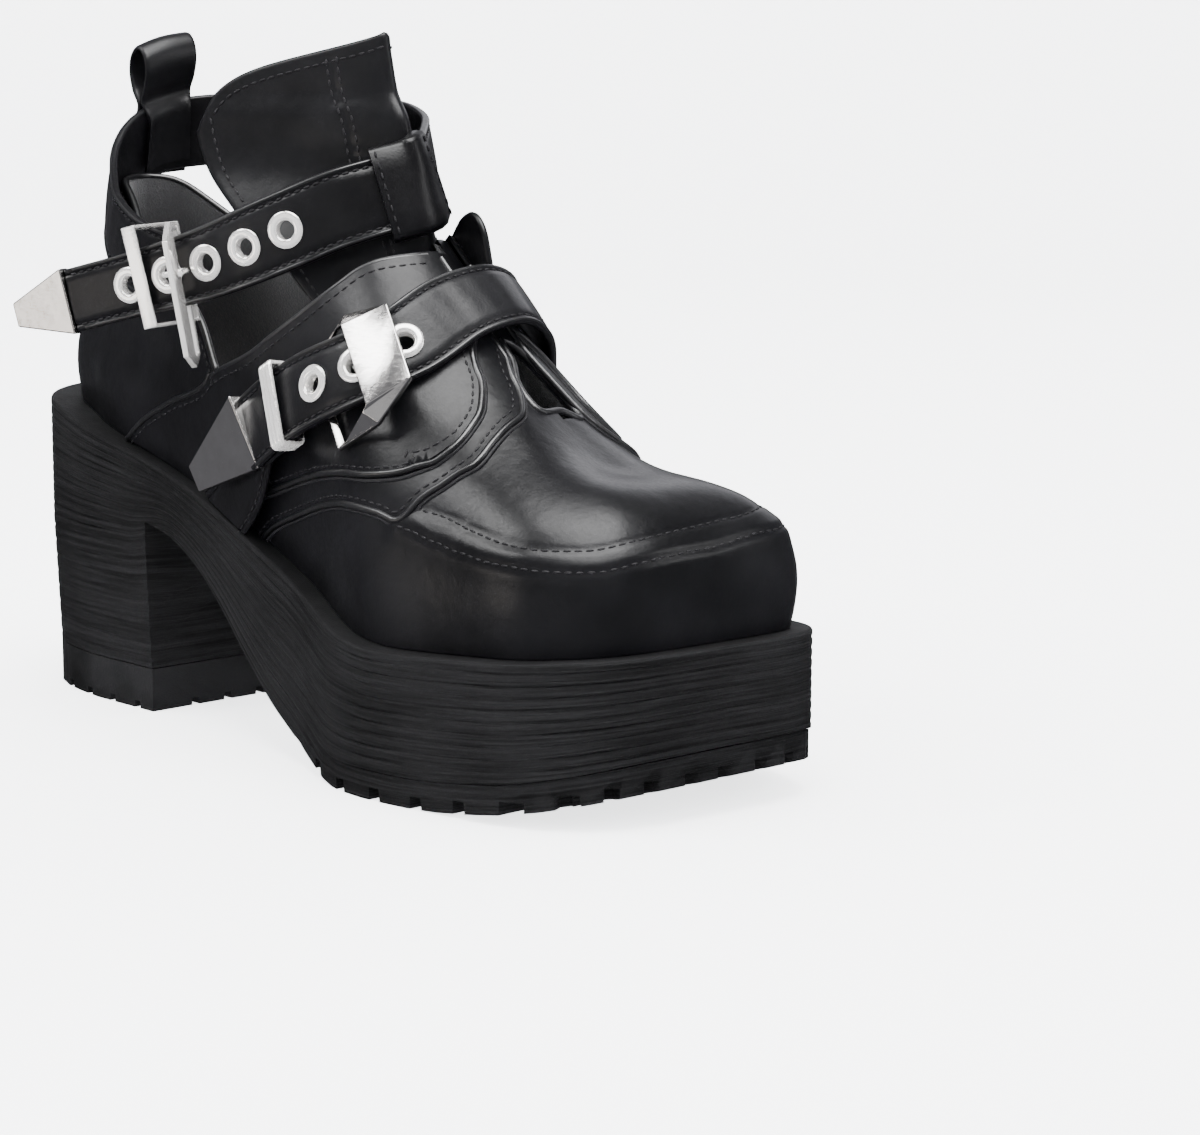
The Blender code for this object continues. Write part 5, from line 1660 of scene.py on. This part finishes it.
def keeper_ring():
    """The band's inner line round the strap as (up, out), with rounded corners."""
    low = STRAP_THICK / 2 + BILLET_THICK + 2 * GAP
    ring = []
    for k, (b, n) in enumerate(((-HALF, -low), (HALF, -low), (HALF, HIGH), (-HALF, HIGH))):
        shift = CORNER - KEEPER_WALL
        b, n = b - math.copysign(shift, b), n - math.copysign(shift, n)
        for a in np.linspace(0, QUARTER, 6) + QUARTER * (k + 2):
            ring.append((b + CORNER * math.cos(a), n + CORNER * math.sin(a)))
    return np.array(ring)


def ridged_keeper():
    spot = instep_path.at(instep_path.nearest((148.6, -42.6, 100.4)))
    ring = keeper_ring()
    count = len(ring)
    normal = shifted(np.vstack([ring, ring[:1]]), -1.0)[:-1] - ring
    along = np.linspace(-BAND / 2, BAND / 2, 31)
    bumps = BUMP * np.abs(np.sin(math.pi * (along / BAND + 0.5) * 3)) ** 0.7
    in_front = 0.25 + 0.75 * ease(0.0, HIGH, ring[:, 1])[:, None]
    sections = [(a, ring + normal * rise * in_front) for a, rise in zip(along, bumps)]
    sections += [(a, ring - normal * KEEPER_WALL) for a in along[::-1]]
    points = [local(spot, [(a, b, n) for b, n in row]) for a, row in sections]
    faces = skin(len(points), count)
    last = (len(points) - 1) * count
    faces += [(last + i, last + (i + 1) % count, (i + 1) % count, i) for i in range(count)]
    return shape("instep_keeper_ridged", np.concatenate(points), faces, satin_nickel, sharp=50)


dressed(ridged_keeper(), "polished_nickel", "instep_keeper")

# %% [markdown]
# ## Eyelets
# Eight equal flanged rings sit in the straps. One ring is turned on a lathe as a mesh
# and a node tree sets a copy of it on every place and turns it to face outward.

# %% Eyelets
BORE, FLANGE, SIDES = 2.7, 5.2, 48


def turned_ring():
    """A rounded flange with a barrel, turned about Z, at the origin."""
    half = STRAP_THICK / 2
    profile = [(BORE, -half), (BORE + 0.4, -half), (BORE + 0.4, half + 0.35),
               (FLANGE - 0.1, half + 0.35), (FLANGE, half + 0.55), (FLANGE - 0.25, half + 0.8),
               (FLANGE - 0.7, half + 0.92), (FLANGE - 1.3, half + 0.98), (BORE + 0.7, half + 0.98),
               (BORE + 0.2, half + 0.8), (BORE, half + 0.45)]
    points = [(x * r, y * r, n) for x, y in circle(1, SIDES) for r, n in profile]
    count = len(profile)
    faces = [tuple(k % (SIDES * count) for k in face) for face in skin(SIDES + 1, count)]
    ring = shape("eyelet", points, faces, satin_nickel, sharp=60)
    ring.data.transform(Matrix.Translation((-heel_back, 0, 0)))
    return ring


def eyelet_tree():
    graph, given = new_tree("eyelets", [("Ring", "Object"), ("Size", "Float"),
                                        ("Metal", "Material")])
    ring = graph.add("GeometryNodeObjectInfo", {"Object": given["Ring"]})
    spots = graph.add("GeometryNodeInstanceOnPoints", {
        "Points": given["Geometry"], "Instance": ring.outputs["Geometry"],
        "Rotation": facing(graph, graph.attribute("along")), "Scale": given["Size"]})
    return close_tree(graph, spots.outputs[0], given["Metal"])


EYELETS = eyelet_tree()
for label, path, runs in (("ankle", ankle_path, ankle_spots),
                          ("instep", instep_path, instep_spots)):
    spots = [path.at(run) for run in runs]
    name = label + "_eyelet_rings"
    base = paths(name, [([spot[0]], [spot[3]]) for spot in spots])
    mark(base.data, "along", [spot[1] for spot in spots])
    ring = turned_ring()
    rings = grown(base, EYELETS, Ring=ring, Size=1.0, Metal=satin_nickel)
    bpy.data.objects.remove(ring)
    dressed(rings, "polished_nickel",
            *("%s_eyelet_%d" % (label, k + 1) for k in range(len(spots))))

# %% [markdown]
# ## Insole and wearing layers
# The insole is a fabric-covered pad with a soft crown. The wearing layers keep the
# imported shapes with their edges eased, and small wedges notch the front one's rim.

# %% Insole
INSOLE_GAP, INSOLE_THICK, CROWN = 2.0, 2.0, 0.3


def insole_pad():
    ring = feather(edge_line(240), WALL + INSOLE_GAP)
    rings = []
    for height, step in ((0.0, 0.0), (1.2, 0.0), (1.8, 0.3), (INSOLE_THICK, 1.0)):
        row = inset(ring, step)
        rings.append(np.column_stack([row, top_z(row[:, 0]) + GAP + height]))
    border = rings[-1]
    centre = (border + np.roll(border[::-1], 1, axis=0)) / 2
    for share in np.linspace(0.1, 1.0, 14):
        row = border * (1 - share) + centre * share
        crown = share * (2 - share) * ease(250, 215, row[:, 0])
        row[:, 2] = top_z(row[:, 0]) + GAP + INSOLE_THICK - crown * CROWN
        rings.append(row)
    faces = strips(len(ring), 0) + skin(len(rings), len(ring))
    return shape("insole_pad", np.vstack(rings), faces, lining, sharp=50)


dressed(insole_pad(), "insole_fabric", "insole")

# %% Wearing layers
NOTCHES_FROM, NOTCH_STEP, NOTCH_DEPTH = 248.0, 12.0, 3.0


def toe_notches():
    """Wedges that notch the wearing layer's rim round the toe."""
    ring = edge_line(SIDE_POINTS)
    along, run = ring_ways(ring), run_along(ring)
    front = np.nonzero(ring[:, 0] > NOTCHES_FROM)[0]
    points, faces = [], []
    for place in np.arange(run[front[0]], run[front[-1]], NOTCH_STEP):
        k = int(np.searchsorted(run, place))
        inward = leftward(along)[k]
        base = float(spring_z(ring[k, 0]))
        corners = [ring[k] + inward * deep + along[k] * half
                   for deep, half in ((-3, -2.2), (-3, 2.2), (8, 1.8), (8, -1.8))]
        start = len(points)
        points += [(*corner, base + z) for z in (-6.0, NOTCH_DEPTH) for corner in corners]
        faces += [tuple(range(start, start + 4)), tuple(range(start + 4, start + 8))]
        faces += skin(2, 4, start)
    return shape("notches", points, faces, rubber)


heel_layer = cast("heel_toplift", 0.4, "heel_wearing_layer", angle=30, look=rubber)
dressed(number_layers(heel_layer), "charcoal_rubber", "heel_toplift")
front_layer = cast("forepart_outsole", 0.4, "forepart_wearing_layer", 30, layered_rubber)
dressed(number_layers(cut(front_layer, toe_notches())), "charcoal_rubber", "forepart_outsole")

# %% [markdown]
# ## The floor
# The boot stands on a round sheet of pale paper that curves up all round, so no horizon
# shows from any side. Mirror-like surfaces don't see it, so they show the lamps only.

# %% Paper bowl
FLAT, BEND, RIM_HEIGHT, BOWL_SIDES = 1.7, 0.9, 2.4, 72      # metres


def paper_bowl():
    """A round floor that glows faintly, so that it stays pale to its edges."""
    made, graph, shader, where = finish(
        "pale_paper", Specular_IOR_Level=0.1, Roughness=0.9,
        Emission_Color=(0.97, 0.98, 1.0, 1.0), Emission_Strength=2.4)
    fibre = graph.grain(where, 260, 3)
    graph.wire(shader, {"Base Color": graph.tint(fibre, (0.88, 0.88, 0.885), (0.92, 0.92, 0.92))})
    profile = [(0.4, 0.0), (FLAT, 0.0)]
    profile += [(FLAT + BEND * math.sin(a), BEND * (1 - math.cos(a)))
                for a in np.linspace(0.12, QUARTER, 12)]
    profile.append((FLAT + BEND, RIM_HEIGHT))
    points = [(x, y, z) for r, z in profile for x, y in circle(r, BOWL_SIDES)]
    faces = [list(range(BOWL_SIDES))]
    faces += [face[::-1] for face in skin(len(profile), BOWL_SIDES)]
    mesh = bpy.data.meshes.new("paper")
    mesh.from_pydata(points, [], faces)
    mesh.shade_smooth()
    mesh.materials.append(made)
    paper = linked("paper", mesh)
    paper.visible_glossy = False


paper_bowl()

# %% [markdown]
# ## Light
# Black leather shows only what it reflects, so the soft boxes are placed for their
# reflections: a wide one overhead, a little to the right, for toe, wings and straps, a
# small one up to the left for the buckle plates, a low warm one to the left for the
# strap ends, a narrow one to the right and a weak one behind for the toe's far edges,
# and a weak one in front for the rubber. The camera sees none of them.

# %% Soft boxes
MIDDLE = Vector((0.09, 0.0, 0.09))
toward_camera = Vector((math.sin(TURN), -math.cos(TURN), 0.0))
# Places in metres as the camera sees them: to the right, toward it and up; then the
# size in metres, the power in watts and the tone.
SOFT_BOXES = {
    "upper_left": ((-0.82, 0.13, 0.86), (0.42, 0.42), 6.5, (1, 1, 1)),
    "overhead": ((0.15, 0.32, 1.4), (1.15, 1.15), 52, (1, 1, 1)),
    "behind": ((0.35, -1.3, 0.65), (1.5, 0.5), 4.5, (0.95, 0.95, 1.0)),
    "right_side": ((1.3, 0.35, 0.55), (0.4, 0.6), 2.5, (1, 1, 1)),
    "low_left": ((-1.0, 0.5, -0.05), (0.45, 0.42), 1.5, (1.0, 0.93, 0.86)),
    "front": ((-0.7, 1.3, 0.15), (1.2, 0.8), 1.0, (1, 1, 1)),
}
for name, ((across, toward, up), size, power, tone) in SOFT_BOXES.items():
    light = bpy.data.lights.new(name, "AREA")
    light.shape = "RECTANGLE"
    light.size, light.size_y = size
    light.energy, light.color = power, tone
    lamp = linked(name, light)
    lamp.location = MIDDLE + level * across + toward_camera * toward + Vector((0, 0, up))
    lamp.rotation_euler = (MIDDLE - lamp.location).to_track_quat("-Z", "Y").to_euler()
    lamp.visible_camera = False
world = bpy.data.worlds.new("studio_room")
bpy.context.scene.world = world
world.use_nodes = True
room = world.node_tree.nodes["Background"].inputs
room["Color"].default_value = (0.92, 0.92, 1.0, 1)
room["Strength"].default_value = 0.14
